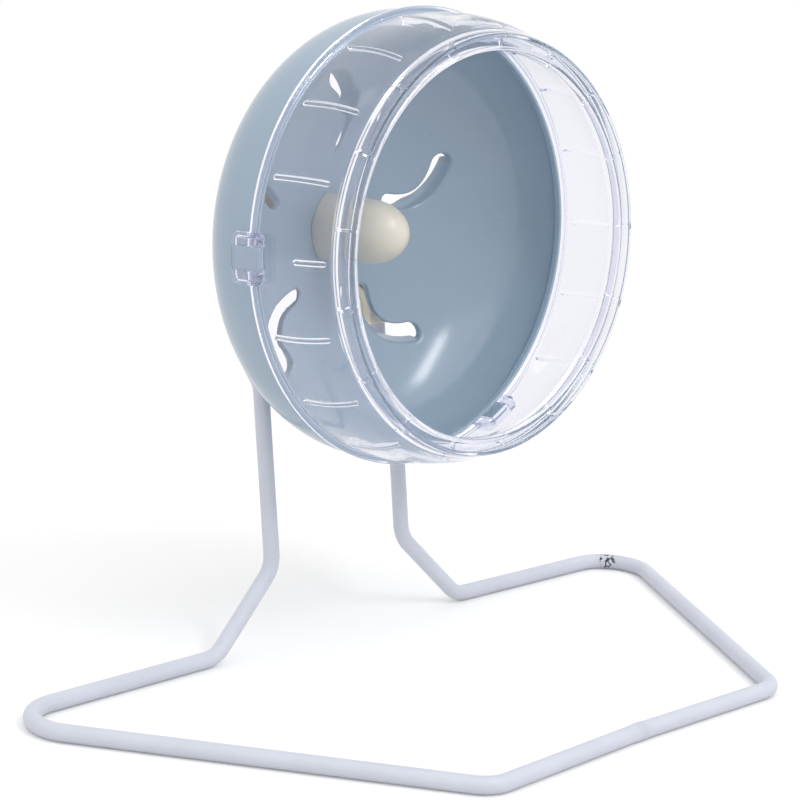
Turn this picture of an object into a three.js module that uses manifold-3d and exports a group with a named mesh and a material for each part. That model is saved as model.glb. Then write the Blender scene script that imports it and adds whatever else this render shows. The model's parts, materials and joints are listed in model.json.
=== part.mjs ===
// A hamster running wheel on a bent steel rod stand, in millimetres with +Z up.
//
// The wheel is a slotted plastic dish closed by a clear plastic ring, which three latches hold.
// It turns on two ball bearings on a bolt, and a two-piece bracket clamps the bolt to the stand.
// The wheel is modelled along its own axis: local Y is 0 at the seam between dish and ring,
// minus Y is the open front and plus Y is the back.

import * as THREE from 'three';
import { mergeGeometries, mergeVertices } from 'three/addons/utils/BufferGeometryUtils.js';
import Module from 'manifold-3d';

const wasm = await Module();
wasm.setup();

const { degToRad } = THREE.MathUtils;
const QUARTER = Math.PI / 2;

// Clearance between pieces that seat on each other or turn in each other.
const FIT = 0.3;
// How far a cutting shape runs past the wall that it cuts.
const OVERRUN = 1;
// Facets round the wheel, round the hub, round the bearings and round the screws.
const WHEEL_FACETS = 54;
const HUB_FACETS = 20;
const BEARING_FACETS = 18;
const SCREW_FACETS = 8;

// Wheel: outer radius over the bead at the seam, wall, height of its centre and tilt.
const WHEEL_RADIUS = 85;
const WHEEL_WALL = 2;
const HUB_HEIGHT = 161.7;
const WHEEL_TIP_UP = degToRad(2.9);

// Clear ring: bead at the seam, depth, rim channel and inner lip.
const BEAD_HALF_WIDTH = 1;
const BEAD_PROUD = 2.1;
const BEAD_CHAMFER = 0.6;
const RING_DEPTH = 39.1;
const RIM_CHANNEL_DEPTH = 5;
const RIM_WALL = 1.8;
const RIM_INSET = 6.05;
const LIP_WALL = 1.6;
const LIP_SETBACK = 0.9;
// Outer skin of the ring: share of its depth, then share of its radius at the seam.
const RING_SKIN_SHARES = [
  [0, 1],
  [0.5, 0.99],
  [0.64, 0.974],
  [0.78, 0.948],
  [0.9, 0.929],
  [1, 0.916],
];

// Tread ribs inside the ring, and short webs across its rim channel.
const RIB_COUNT = 18;
const RIB_START = degToRad(0.8);
const RIB_WIDTH = 2;
const RIB_HEIGHT = 1.2;
const RIB_REAR = 4;
const RIB_FRONT = 28;
const SHORT_RIB_REAR = 18;
const SHORT_RIB_FRONT = 30;
const WEB_COUNT = 17;
const WEB_START = degToRad(87);
const WEB_WIDTH = 1;
const WEB_HEIGHT = 3.2;

// Latches: a clear hood on the ring over a tongue on the dish.
const LATCH_COUNT = 3;
const LATCH_START = degToRad(60.9);
const HOOD_WIDTH = 18.6;
const HOOD_FRONT = 5.5;
const HOOD_REAR = 8;
const HOOD_CORNER = 3;
const HOOD_WALL = 1.6;
const HOOD_END_WALL = 4.15;
const TONGUE_PROUD = 1;
const TONGUE_WALL = 1.75;

// Dish: depth to its flat back, where its curve starts, and the shape of the curve.
const DISH_SETBACK = 1;
const DISH_DEPTH = 51;
const DISH_SHOULDER = 5;
const DISH_EXPONENT = 2.45;
const DISH_CURVE_STEPS = 8;
const HUB_LAND_MARGIN = 1.5;
const SPIGOT_REACH = 2.5;
const SPIGOT_WALL = 1.2;
const SPIGOT_RAMP = 2.5;

// Slots: five commas that run out from the hub and curl round, each in a standing flange.
const SLOT_COUNT = 5;
const SLOT_START = degToRad(9.5);
const SLOT_CURL = degToRad(15);
const SLOT_CURL_POWER = 4;
const SLOT_HUB_GAP = 17.5;
const SLOT_SIDE_GAP = 26.7;
const SLOT_INNER_WIDTH = 6.6;
const SLOT_OUTER_WIDTH = 7.6;
const SLOT_STEPS = 5;
const SLOT_END_STEPS = 3;
const FLANGE_WALL = 1.4;
const FLANGE_HEIGHT = 3.6;

// Ball bearings: bore, outside diameter, width, balls and races.
const BEARING_BORE = 5.6;
const BEARING_DIAMETER = 16;
const BEARING_WIDTH = 5;
const BALL_COUNT = 7;
const BALL_DIAMETER = 2.6;
const BALL_PITCH_RADIUS = 5.3;
const BALL_FACETS = 8;
const RACE_LAND = 0.95;
const CAGE_BASE = 0.35;
const SHIELD_WALL = 0.3;
const SHIELD_INSET = 0.1;
const SHIELD_OVERLAP = 0.25;

// Hub: housing of the two bearings, the sleeve between them and the cap over it.
const HUB_RADIUS = 10.2;
const HUB_PROUD = 3;
const BEARING_SPAN = 16;
const HUB_BORE_RADIUS = 6.5;
const SLEEVE_WALL = 0.9;
const CAP_BASE_RADIUS = 13;
const CAP_NOSE_RADIUS = 12.2;
const CAP_LENGTH = 39.7;
const CAP_DOME = 17;
const CAP_TIP_WALL = 3;
const CAP_CURVE_STEPS = 6;

// Axle: an M5 bolt with its washers and lock nut.
const BOLT_DIAMETER = 5;
const BOLT_HEAD_FLATS = 8;
const BOLT_HEAD_HEIGHT = 3.5;
const BOLT_LENGTH = 45;
const WASHER_RADIUS = 4.6;
const WASHER_WALL = 0.7;
const NUT_HEIGHT = 5;
const NUT_COLLAR_HEIGHT = 1.4;
const NUT_COLLAR_INSET = 0.6;

// Stand: one bent rod, its uprights, its jog and its base on the floor.
const ROD_DIAMETER = 6.2;
const ROD_SIDES = 10;
const UPRIGHT_HALF_SPACING = 35.4;
const UPRIGHT_LEAN = degToRad(8.5);
const ARCH_DROP = 9.7;
const JOG = 7.05;
const JOG_RISE = 9;
const JOG_BELOW_BRACKET = 6.5;
const JOG_BEND = 8;
const RISE_HEIGHT = 32.2;
const RISE_HALF_SPACING = 65.9;
const REAR_HALF_WIDTH = 174.2;
const FRONT_HALF_WIDTH = 78.2;
const BASE_DEPTH = 150.8;
const REAR_TOE = 1.1;
const FRONT_BOW = 2.4;
const REAR_BEND = 17;
const BEND = 12;
const BEND_STEP = degToRad(18);
const WELD_GAP = 0.6;
const WELD_HALF_LENGTH = 2.8;
const WELD_PROUD = 0.2;
const WELD_FLOOR_GAP = 0.1;

// Bracket: two moulded halves that clamp the uprights and the arch.
const BRACKET_HALF_DEPTH = 4.4;
const BRACKET_SIDE_WALL = 1.2;
const BRACKET_LEG_DROP = 35.4;
const BRACKET_LEG_WIDTH = 12;
const NOTCH_DEPTH = 17.2;
const NOTCH_CORNER = 11;
const BRACKET_CHAMFER = 0.8;
const BRACKET_CORNER = 2;
const ARCH_STEPS = 16;
const BOSS_PROUD = 1.4;
const BOSS_RADIUS = 8;
const HEAD_BOSS_WALL = 3.2;
const HEAD_BOSS_COVER = 0.5;
// Clamp screws: side, then shares of the uprights' half spacing across and up.
const SCREW_PLACE_SHARES = [[1, 0.52, 0.4], [-1, 0.52, 0.4], [1, 0.62, -0.34], [-1, 0.62, -0.34]];
const SCREW_RADIUS = 1.5;
const SCREW_HEAD_RADIUS = 2.7;
const SCREW_HEAD_HEIGHT = 1.8;
const SCREW_TIP_COVER = 1.2;

// Radii that follow from the sizes above.
const RING_RADIUS = WHEEL_RADIUS - BEAD_PROUD;
const DISH_RADIUS = WHEEL_RADIUS - DISH_SETBACK;
const DISH_FRONT = BEAD_HALF_WIDTH + FIT;
const SPIGOT_RADIUS = RING_RADIUS - WHEEL_WALL - FIT;
const TONGUE_RADIUS = DISH_RADIUS + TONGUE_PROUD;
const SLOT_INNER_RADIUS = CAP_BASE_RADIUS + SLOT_HUB_GAP;
const SLOT_OUTER_RADIUS = DISH_RADIUS - SLOT_SIDE_GAP;
const PRISM_START = WHEEL_RADIUS / 2;
const ROD_RADIUS = ROD_DIAMETER / 2;
const BOLT_RADIUS = BOLT_DIAMETER / 2;

// Stations along the wheel's axis, from the back of the dish.
const HUB_REAR = DISH_DEPTH + HUB_PROUD;
const REAR_BEARING_FRONT = HUB_REAR - BEARING_WIDTH;
const FRONT_BEARING_REAR = REAR_BEARING_FRONT - BEARING_SPAN;
const HUB_FRONT = FRONT_BEARING_REAR - BEARING_WIDTH;
const BOSS_FRONT = HUB_REAR + FIT + WASHER_WALL + FIT;
const CAP_REAR = DISH_DEPTH - WHEEL_WALL - FIT;

// Profile points are written as radius, then station along the axis.
function point([radius, station]) {
  return new THREE.Vector2(radius, station);
}

// Turns a closed surface into a solid, with shared corners merged and empty faces left out.
function solid(geometry) {
  const bare = geometry.clone();
  bare.deleteAttribute('normal');
  bare.deleteAttribute('uv');
  const merged = mergeVertices(bare);
  const corners = merged.index.array;
  const faces = [];
  for (let i = 0; i < corners.length; i += 3) {
    const face = corners.slice(i, i + 3);
    if (new Set(face).size === 3) faces.push(...face);
  }
  const mesh = new wasm.Mesh({
    numProp: 3,
    vertProperties: new Float32Array(merged.attributes.position.array),
    triVerts: new Uint32Array(faces),
  });
  return new wasm.Manifold(mesh);
}

// Turns a solid back into a surface for a mesh.
function surface(body) {
  const mesh = body.getMesh();
  const geometry = new THREE.BufferGeometry();
  geometry.setAttribute('position', new THREE.BufferAttribute(mesh.vertProperties, 3));
  geometry.setIndex(new THREE.BufferAttribute(mesh.triVerts, 1));
  geometry.computeVertexNormals();
  return geometry;
}

// A solid turned about the Y axis. The profile runs up its outside, and from axis to axis
// or back to its first point.
function turned(profile, facets, closed = false) {
  const points = profile.map(point);
  if (closed) points.push(points[0].clone());
  return solid(new THREE.LatheGeometry(points, facets));
}

// A ring of rectangular section about the Y axis.
function washer(inner, outer, low, high, facets) {
  return turned([[inner, low], [outer, low], [outer, high], [inner, high]], facets, true);
}

// A disc about the Y axis.
function disc(radius, low, high, facets) {
  return turned([[0, low], [radius, low], [radius, high], [0, high]], facets);
}

// A prism that follows an outline in X and Z and runs along Y from low to high.
function axialPrism(shape, low, high) {
  const geometry = new THREE.ExtrudeGeometry(shape, { depth: high - low, bevelEnabled: false });
  geometry.rotateX(QUARTER);
  geometry.translate(0, high, 0);
  return geometry;
}

// Prisms that follow one outline, in width and station, and run outwards at several angles.
function radialPrisms(shape, inner, outer, angles) {
  const prisms = angles.map((angle) => {
    const prism = new THREE.ExtrudeGeometry(shape, { depth: outer - inner, bevelEnabled: false });
    prism.translate(0, 0, inner);
    prism.rotateY(QUARTER - angle);
    return prism;
  });
  return solid(mergeGeometries(prisms));
}

// Points of an arc about a centre, in as many steps as asked for.
function arc(x, y, radius, from, to, steps) {
  return Array.from({ length: steps + 1 }, (_, i) => {
    const angle = THREE.MathUtils.lerp(from, to, i / steps);
    return new THREE.Vector2(x + radius * Math.cos(angle), y + radius * Math.sin(angle));
  });
}

// A rectangle with cut or round corners, centred on X, from one Y to another.
function roundedRectangle(width, low, high, corner, steps) {
  const side = width / 2 - corner;
  return new THREE.Shape([
    ...arc(side, low + corner, corner, -QUARTER, 0, steps),
    ...arc(side, high - corner, corner, 0, QUARTER, steps),
    ...arc(-side, high - corner, corner, QUARTER, 2 * QUARTER, steps),
    ...arc(-side, low + corner, corner, 2 * QUARTER, 3 * QUARTER, steps),
  ]);
}

function evenAngles(count, start) {
  return Array.from({ length: count }, (_, i) => start + (i * 2 * Math.PI) / count);
}

function joined(solids) {
  return solids.reduce((whole, next) => whole.add(next));
}

function piece(name, geometry, material) {
  const mesh = new THREE.Mesh(geometry, material);
  mesh.name = name;
  return mesh;
}

const steel = { color: 0xb9bcc2, metalness: 0.9, roughness: 0.35 };
const materials = {
  coatedRod: new THREE.MeshStandardMaterial({ color: 0xc4c8cc, metalness: 0.3, roughness: 0.4 }),
  creamPlastic: new THREE.MeshStandardMaterial({ color: 0xd8d2cc, roughness: 0.45 }),
  bluePlastic: new THREE.MeshStandardMaterial({ color: 0x9fb2c4, roughness: 0.25 }),
  clearPlastic: new THREE.MeshStandardMaterial({
    color: 0xeef3f6,
    roughness: 0.08,
    transparent: true,
    opacity: 0.35,
  }),
  steel: new THREE.MeshStandardMaterial(steel),
  cagePlastic: new THREE.MeshStandardMaterial({ color: 0x8f8f88, roughness: 0.5 }),
};

// Radius of the mouth, inside the lip of the clear ring.
function mouthRadius() {
  return ringSkin(-RING_DEPTH) - RIM_INSET;
}

// Radius of the clear ring's outer skin at a station in front of the seam.
function ringSkin(station) {
  const depthShare = -station / RING_DEPTH;
  const last = RING_SKIN_SHARES.length - 1;
  let i = 1;
  while (i < last && RING_SKIN_SHARES[i][0] < depthShare) i += 1;
  const [share0, radius0] = RING_SKIN_SHARES[i - 1];
  const [share1, radius1] = RING_SKIN_SHARES[i];
  const along = (depthShare - share0) / (share1 - share0);
  return RING_RADIUS * THREE.MathUtils.lerp(radius0, radius1, along);
}

// Profile of a band that follows the ring's skin between two stations and two depths below it.
function skinBand(front, rear, outerDepth, innerDepth) {
  const between = RING_SKIN_SHARES.map(([share]) => -share * RING_DEPTH);
  const inside = between.filter((station) => station > front && station < rear).reverse();
  const stations = [front, ...inside, rear];
  const outer = stations.map((station) => [ringSkin(station) - outerDepth, station]);
  const inner = stations.map((station) => [ringSkin(station) - innerDepth, station]);
  return [...outer, ...inner.reverse()];
}

// The turned body of the clear ring: drum wall, bead at the seam and U-shaped rim.
function ringBody() {
  const front = -RING_DEPTH;
  const channelFloor = front + RIM_CHANNEL_DEPTH;
  const webRear = channelFloor + RIM_WALL;
  const lipFront = front + LIP_SETBACK;
  const mouth = mouthRadius();
  const lipRadius = mouth + LIP_WALL;
  const rimInner = (station) => [ringSkin(station) - RIM_WALL, station];
  const wall = skinBand(front, -BEAD_HALF_WIDTH, 0, WHEEL_WALL);
  const outerWall = wall.slice(0, wall.length / 2);
  const innerWall = wall.slice(wall.length / 2).filter(([, station]) => station > webRear);
  return turned([
    ...outerWall,
    [WHEEL_RADIUS - BEAD_CHAMFER, -BEAD_HALF_WIDTH],
    [WHEEL_RADIUS, BEAD_CHAMFER - BEAD_HALF_WIDTH],
    [WHEEL_RADIUS, BEAD_HALF_WIDTH - BEAD_CHAMFER],
    [WHEEL_RADIUS - BEAD_CHAMFER, BEAD_HALF_WIDTH],
    [RING_RADIUS - WHEEL_WALL, BEAD_HALF_WIDTH],
    ...innerWall,
    [ringSkin(webRear) - WHEEL_WALL, webRear],
    [mouth, webRear],
    [mouth, lipFront],
    [lipRadius, lipFront],
    [lipRadius, channelFloor],
    rimInner(channelFloor),
    rimInner(front),
  ], WHEEL_FACETS, true);
}

// Ribs on the running surface. The one in front of each latch is short.
function treadRibs() {
  const angles = evenAngles(RIB_COUNT, RIB_START);
  const inFrontOfLatch = (_, i) => i % (RIB_COUNT / LATCH_COUNT) === RIB_COUNT / LATCH_COUNT / 2;
  const round = RIB_WIDTH / 3;
  const long = roundedRectangle(RIB_WIDTH, -RIB_FRONT, -RIB_REAR, round, 1);
  const short = roundedRectangle(RIB_WIDTH, -SHORT_RIB_FRONT, -SHORT_RIB_REAR, round, 1);
  const longAngles = angles.filter((angle, i) => !inFrontOfLatch(angle, i));
  const longRibs = radialPrisms(long, PRISM_START, WHEEL_RADIUS, longAngles);
  const shortRibs = radialPrisms(short, PRISM_START, WHEEL_RADIUS, angles.filter(inFrontOfLatch));
  const depth = WHEEL_WALL + RIB_HEIGHT;
  const profile = skinBand(-SHORT_RIB_FRONT - OVERRUN, 0, WHEEL_WALL / 2, depth);
  const band = turned(profile, WHEEL_FACETS, true);
  return longRibs.add(shortRibs).intersect(band);
}

// Thin webs that stiffen the rim channel.
function rimWebs() {
  const floor = RIM_CHANNEL_DEPTH - RING_DEPTH;
  const shape = roundedRectangle(WEB_WIDTH, floor - WEB_HEIGHT, floor + RIM_WALL / 2, WEB_WIDTH / 4, 1);
  const inner = mouthRadius() + LIP_WALL / 2;
  const outer = ringSkin(-RING_DEPTH) - RIM_WALL / 2;
  return radialPrisms(shape, inner, outer, evenAngles(WEB_COUNT, WEB_START));
}

// Raised hoods of the latches, then the channels in them for the tongues of the dish.
function latchHoods(body) {
  const angles = evenAngles(LATCH_COUNT, LATCH_START);
  const hoodInner = TONGUE_RADIUS + FIT;
  const outline = roundedRectangle(HOOD_WIDTH, -HOOD_FRONT, HOOD_REAR, HOOD_CORNER, 2);
  const channelWidth = HOOD_WIDTH - 2 * HOOD_END_WALL;
  const channelFront = HOOD_WALL - HOOD_FRONT;
  const channelRear = HOOD_REAR + HOOD_CORNER;
  const channel = roundedRectangle(channelWidth, channelFront, channelRear, HOOD_CORNER / 2, 1);
  const prismEnd = WHEEL_RADIUS + HOOD_WALL + HOOD_CORNER;
  const blocks = radialPrisms(outline, PRISM_START, prismEnd, angles);
  const channels = radialPrisms(channel, PRISM_START, prismEnd, angles);
  const inWall = RING_RADIUS - WHEEL_WALL / 2;
  const low = -HOOD_FRONT - OVERRUN;
  const high = HOOD_REAR + OVERRUN;
  const hoodBand = washer(inWall, hoodInner + HOOD_WALL, low, high, WHEEL_FACETS);
  const channelBand = washer(RING_RADIUS, hoodInner, low, high, WHEEL_FACETS);
  const dishSpace = washer(PRISM_START, DISH_RADIUS + FIT, BEAD_HALF_WIDTH, high, WHEEL_FACETS);
  const hoods = blocks.intersect(hoodBand).subtract(dishSpace);
  return body.add(hoods).subtract(channels.intersect(channelBand));
}

function frontRing() {
  const body = ringBody().add(treadRibs()).add(rimWebs());
  return piece('front_ring', surface(latchHoods(body)), materials.clearPlastic);
}

// Quarter superellipse of the dish, from its side to a flat land round the hub, grown by an offset.
function dishCurve(offset) {
  const radius = DISH_RADIUS + offset;
  const depth = DISH_DEPTH - DISH_SHOULDER + offset;
  const power = 2 / DISH_EXPONENT;
  const points = [];
  for (let i = 0; i < DISH_CURVE_STEPS; i += 1) {
    const angle = (i / DISH_CURVE_STEPS) * QUARTER;
    points.push([radius * Math.cos(angle) ** power, DISH_SHOULDER + depth * Math.sin(angle) ** power]);
  }
  const land = DISH_SHOULDER + depth;
  return [...points, [CAP_BASE_RADIUS + HUB_LAND_MARGIN, land], [0, land]];
}

// Outline of one slot, grown by an offset: two sides along a curling line, and two round ends.
function slotShape(offset) {
  const lineRadius = (along) => THREE.MathUtils.lerp(SLOT_INNER_RADIUS, SLOT_OUTER_RADIUS, along);
  const line = (along) => {
    const angle = SLOT_START + SLOT_CURL * along ** SLOT_CURL_POWER;
    return new THREE.Vector2(Math.cos(angle), Math.sin(angle)).multiplyScalar(lineRadius(along));
  };
  const step = 1 / SLOT_STEPS;
  const points = [];
  const addArc = (along, from, to) => {
    const width = THREE.MathUtils.lerp(SLOT_INNER_WIDTH, SLOT_OUTER_WIDTH, along);
    const heading = line(along + step / 4).sub(line(along - step / 4)).angle();
    const steps = from === to ? 0 : SLOT_END_STEPS;
    for (let i = 0; i <= steps; i += 1) {
      const angle = heading + from + (steps ? (to - from) * (i / steps) : 0);
      const reach = width / 2 + offset;
      points.push(new THREE.Vector2(Math.cos(angle), Math.sin(angle)).multiplyScalar(reach).add(line(along)));
    }
  };
  addArc(0, QUARTER, 3 * QUARTER);
  for (let i = 1; i < SLOT_STEPS; i += 1) addArc(i * step, -QUARTER, -QUARTER);
  addArc(1, -QUARTER, QUARTER);
  for (let i = SLOT_STEPS - 1; i > 0; i -= 1) addArc(i * step, QUARTER, QUARTER);
  return new THREE.Shape(points);
}

// The five slots, or their flanges where an offset is given, as prisms along the axis.
function slotPrisms(offset) {
  const low = DISH_SHOULDER;
  const high = HUB_REAR + FLANGE_HEIGHT + OVERRUN;
  const prisms = evenAngles(SLOT_COUNT, 0).map((turn) => {
    const prism = axialPrism(slotShape(offset), low, high);
    prism.rotateY(-turn);
    return prism;
  });
  return solid(mergeGeometries(prisms));
}

// Outside of the dish, closed across its front, with the spigot that enters the clear ring.
function dishOutside() {
  return turned([
    [0, -SPIGOT_REACH],
    [SPIGOT_RADIUS, -SPIGOT_REACH],
    [SPIGOT_RADIUS, DISH_FRONT],
    [DISH_RADIUS, DISH_FRONT],
    ...dishCurve(0),
  ], WHEEL_FACETS);
}

// Space inside the dish, run out past its front.
function dishInside() {
  const spigotInner = SPIGOT_RADIUS - SPIGOT_WALL;
  return turned([
    [0, -SPIGOT_REACH - OVERRUN],
    [spigotInner, -SPIGOT_REACH - OVERRUN],
    [spigotInner, DISH_FRONT + WHEEL_WALL / 2],
    [DISH_RADIUS - WHEEL_WALL, DISH_FRONT + WHEEL_WALL / 2 + SPIGOT_RAMP],
    ...dishCurve(-WHEEL_WALL),
  ], WHEEL_FACETS);
}

// Tongues that reach from the dish into the hoods of the clear ring.
function latchTongues() {
  const width = HOOD_WIDTH - 2 * HOOD_END_WALL - 2 * FIT;
  const front = HOOD_WALL + FIT - HOOD_FRONT;
  const rear = HOOD_REAR - FIT;
  const outline = roundedRectangle(width, front, rear, HOOD_CORNER / 2, 1);
  const angles = evenAngles(LATCH_COUNT, LATCH_START);
  const prisms = radialPrisms(outline, PRISM_START, TONGUE_RADIUS + OVERRUN, angles);
  const inner = TONGUE_RADIUS - TONGUE_WALL;
  const band = washer(inner, TONGUE_RADIUS, front - OVERRUN, rear + OVERRUN, WHEEL_FACETS);
  return prisms.intersect(band);
}

// Space in the hub: a seat for each bearing and a narrower bore between them.
function hubBore() {
  const seat = BEARING_DIAMETER / 2 + FIT;
  return turned([
    [0, HUB_FRONT - OVERRUN],
    [seat, HUB_FRONT - OVERRUN],
    [seat, FRONT_BEARING_REAR + FIT],
    [HUB_BORE_RADIUS, FRONT_BEARING_REAR + FIT],
    [HUB_BORE_RADIUS, REAR_BEARING_FRONT - FIT],
    [seat, REAR_BEARING_FRONT - FIT],
    [seat, HUB_REAR + OVERRUN],
    [0, HUB_REAR + OVERRUN],
  ], HUB_FACETS);
}

function rearDish() {
  const flanges = slotPrisms(FLANGE_WALL).intersect(turned([
    [0, DISH_SHOULDER],
    ...dishCurve(FLANGE_HEIGHT),
  ], WHEEL_FACETS));
  const shell = dishOutside().add(flanges).subtract(dishInside()).subtract(slotPrisms(0));
  const hub = disc(HUB_RADIUS, HUB_FRONT, HUB_REAR, HUB_FACETS);
  const body = shell.add(latchTongues()).add(hub).subtract(hubBore());
  return piece('rear_dish', surface(body), materials.bluePlastic);
}

// Bullet-shaped cap that pushes over the hub.
function hubCap() {
  const domeRear = CAP_REAR - CAP_LENGTH + CAP_DOME;
  const inner = HUB_RADIUS + FIT;
  const dome = (radius, length) => {
    const points = [];
    for (let i = 1; i <= CAP_CURVE_STEPS; i += 1) {
      const angle = (i / CAP_CURVE_STEPS) * QUARTER;
      points.push([radius * Math.sin(angle), domeRear - length * Math.cos(angle)]);
    }
    return points;
  };
  const innerDome = dome(inner, CAP_DOME - CAP_TIP_WALL).reverse();
  const body = turned([
    [0, domeRear - CAP_DOME],
    ...dome(CAP_NOSE_RADIUS, CAP_DOME),
    [CAP_BASE_RADIUS, CAP_REAR],
    [inner, CAP_REAR],
    ...innerDome,
    [0, domeRear - CAP_DOME + CAP_TIP_WALL],
  ], HUB_FACETS);
  return piece('hub_cap', surface(body), materials.creamPlastic);
}

// Ball groove of a race, from front to rear: in the inner ring for -1, in the outer for 1.
function raceGroove(sign) {
  const reach = BALL_DIAMETER / 2 + FIT;
  const edge = Math.acos(RACE_LAND / reach);
  return [-edge, 0, edge].map((angle) => (
    [BALL_PITCH_RADIUS + sign * reach * Math.cos(angle), reach * Math.sin(angle)]));
}

// One ball bearing about the Y axis, centred on a station. Its inner ring stands still.
function bearing(name, station) {
  const half = BEARING_WIDTH / 2;
  const innerLand = BALL_PITCH_RADIUS - RACE_LAND;
  const outerLand = BALL_PITCH_RADIUS + RACE_LAND;
  const innerRing = turned([
    [BEARING_BORE / 2, -half],
    [innerLand, -half],
    ...raceGroove(-1),
    [innerLand, half],
    [BEARING_BORE / 2, half],
  ], BEARING_FACETS, true);
  const shieldSeat = outerLand + SHIELD_OVERLAP;
  const outerRing = turned([
    [shieldSeat, -half],
    [BEARING_DIAMETER / 2, -half],
    [BEARING_DIAMETER / 2, half],
    [shieldSeat, half],
    [shieldSeat, half - SHIELD_INSET - SHIELD_WALL - FIT],
    [outerLand, half - SHIELD_INSET - SHIELD_WALL - FIT],
    ...raceGroove(1).reverse(),
    [outerLand, FIT + SHIELD_WALL + SHIELD_INSET - half],
    [shieldSeat, FIT + SHIELD_WALL + SHIELD_INSET - half],
  ], BEARING_FACETS, true);
  const shield = washer(innerLand + FIT, shieldSeat - FIT / 2, 0, SHIELD_WALL, BEARING_FACETS);
  const frontShield = piece(`${name}_front_shield`, surface(shield), materials.steel);
  frontShield.position.y = SHIELD_INSET - half;
  const rearShield = piece(`${name}_rear_shield`, surface(shield), materials.steel);
  rearShield.position.y = half - SHIELD_INSET - SHIELD_WALL;
  const group = new THREE.Group();
  group.position.y = station;
  group.add(
    piece(`${name}_inner_ring`, surface(innerRing), materials.steel),
    piece(`${name}_outer_ring`, surface(outerRing), materials.steel),
    frontShield,
    rearShield,
    piece(`${name}_cage`, surface(bearingCage()), materials.cagePlastic),
    ...bearingBalls(name),
  );
  return group;
}

function bearingBalls(name) {
  const shape = surface(solid(new THREE.SphereGeometry(BALL_DIAMETER / 2, BALL_FACETS, BALL_FACETS / 2)));
  return evenAngles(BALL_COUNT, 0).map((angle, i) => {
    const ball = piece(`${name}_ball_${i + 1}`, shape, materials.steel);
    ball.position.set(BALL_PITCH_RADIUS * Math.cos(angle), 0, BALL_PITCH_RADIUS * Math.sin(angle));
    ball.rotation.y = -angle;
    return ball;
  });
}

// Crown cage: a ring beside the balls with a prong between each two.
function bearingCage() {
  const pocket = BALL_DIAMETER / 2 + FIT;
  const inner = BALL_PITCH_RADIUS - RACE_LAND + FIT;
  const outer = BALL_PITCH_RADIUS + RACE_LAND - FIT;
  const pockets = evenAngles(BALL_COUNT, 0).map((angle) => {
    const cutter = new THREE.CylinderGeometry(pocket, pocket, 2 * BALL_DIAMETER, BALL_FACETS);
    cutter.rotateZ(QUARTER);
    cutter.translate(BALL_PITCH_RADIUS, 0, 0);
    cutter.rotateY(-angle);
    return cutter;
  });
  const ring = washer(inner, outer, -pocket - CAGE_BASE, pocket / 3, BEARING_FACETS);
  return ring.subtract(solid(mergeGeometries(pockets)));
}

// Hexagon along the Y axis, measured over its flats.
function hexagon(flats, low, high) {
  const prism = new THREE.CylinderGeometry(flats / Math.sqrt(3), flats / Math.sqrt(3), high - low, 6);
  prism.translate(0, (low + high) / 2, 0);
  return solid(prism);
}

// Rods' plane, found from the boss that carries the bolt: a frame that leans with the uprights.
function bracketFrame(wheel) {
  const frame = new THREE.Group();
  frame.rotation.x = -UPRIGHT_LEAN;
  const bossFace = new THREE.Vector3(0, BOSS_FRONT, 0).applyMatrix4(wheel.matrix);
  const along = new THREE.Vector3(0, 0, 1).applyEuler(frame.rotation);
  const away = new THREE.Vector3(0, 1, 0).applyEuler(frame.rotation);
  const onPlane = bossFace.addScaledVector(away, BOSS_PROUD + BRACKET_HALF_DEPTH);
  const archHeight = HUB_HEIGHT - ARCH_DROP;
  frame.position.copy(onPlane).addScaledVector(along, (archHeight - onPlane.z) / along.z);
  frame.updateMatrix();
  return frame;
}

// A path of straight runs and round bends. Its stations are the ends of the runs and
// a few points round each bend, so a swept section has no rings where it needs none.
class BentPath extends THREE.Curve {
  constructor(start, corners, end) {
    super();
    this.stations = [];
    const places = [start, ...corners.map((corner) => corner.place), end];
    this.addStation(start, places[1].clone().sub(start).normalize());
    corners.forEach(({ place, radius }, i) => this.addBend(places[i], place, places[i + 2], radius));
    this.addStation(end, end.clone().sub(places.at(-2)).normalize());
  }

  addStation(place, tangent) {
    const last = this.stations.at(-1);
    if (!last || last.place.distanceTo(place) > FIT) this.stations.push({ place, tangent });
  }

  addBend(from, corner, to, radius) {
    const arriving = corner.clone().sub(from).normalize();
    const leaving = to.clone().sub(corner).normalize();
    const angle = arriving.angleTo(leaving);
    const axis = arriving.clone().cross(leaving).normalize();
    const first = corner.clone().addScaledVector(arriving, -radius * Math.tan(angle / 2));
    const centre = first.clone().addScaledVector(axis.clone().cross(arriving), radius);
    const steps = Math.ceil(angle / BEND_STEP);
    for (let i = 0; i <= steps; i += 1) {
      const turn = (angle * i) / steps;
      const place = first.clone().sub(centre).applyAxisAngle(axis, turn).add(centre);
      this.addStation(place, arriving.clone().applyAxisAngle(axis, turn));
    }
  }

  station(t) {
    return this.stations[Math.round(t * (this.stations.length - 1))];
  }

  getPoint(t, target = new THREE.Vector3()) {
    return target.copy(this.station(t).place);
  }

  getTangent(t, target = new THREE.Vector3()) {
    return target.copy(this.station(t).tangent);
  }

  getUtoTmapping(u) {
    return u;
  }
}

// A round bar along a path, as a polygon whose flats stand at the given radius.
function bar(path, radius) {
  const shape = new THREE.Shape();
  for (let i = 0; i < ROD_SIDES; i += 1) {
    const angle = ((i + 0.5) * 2 * Math.PI) / ROD_SIDES;
    const reach = radius / Math.cos(Math.PI / ROD_SIDES);
    const corner = [reach * Math.cos(angle), reach * Math.sin(angle)];
    if (i === 0) shape.moveTo(...corner);
    else shape.lineTo(...corner);
  }
  const steps = path.stations.length - 1;
  return solid(new THREE.ExtrudeGeometry(shape, { steps, extrudePath: path }));
}

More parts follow.
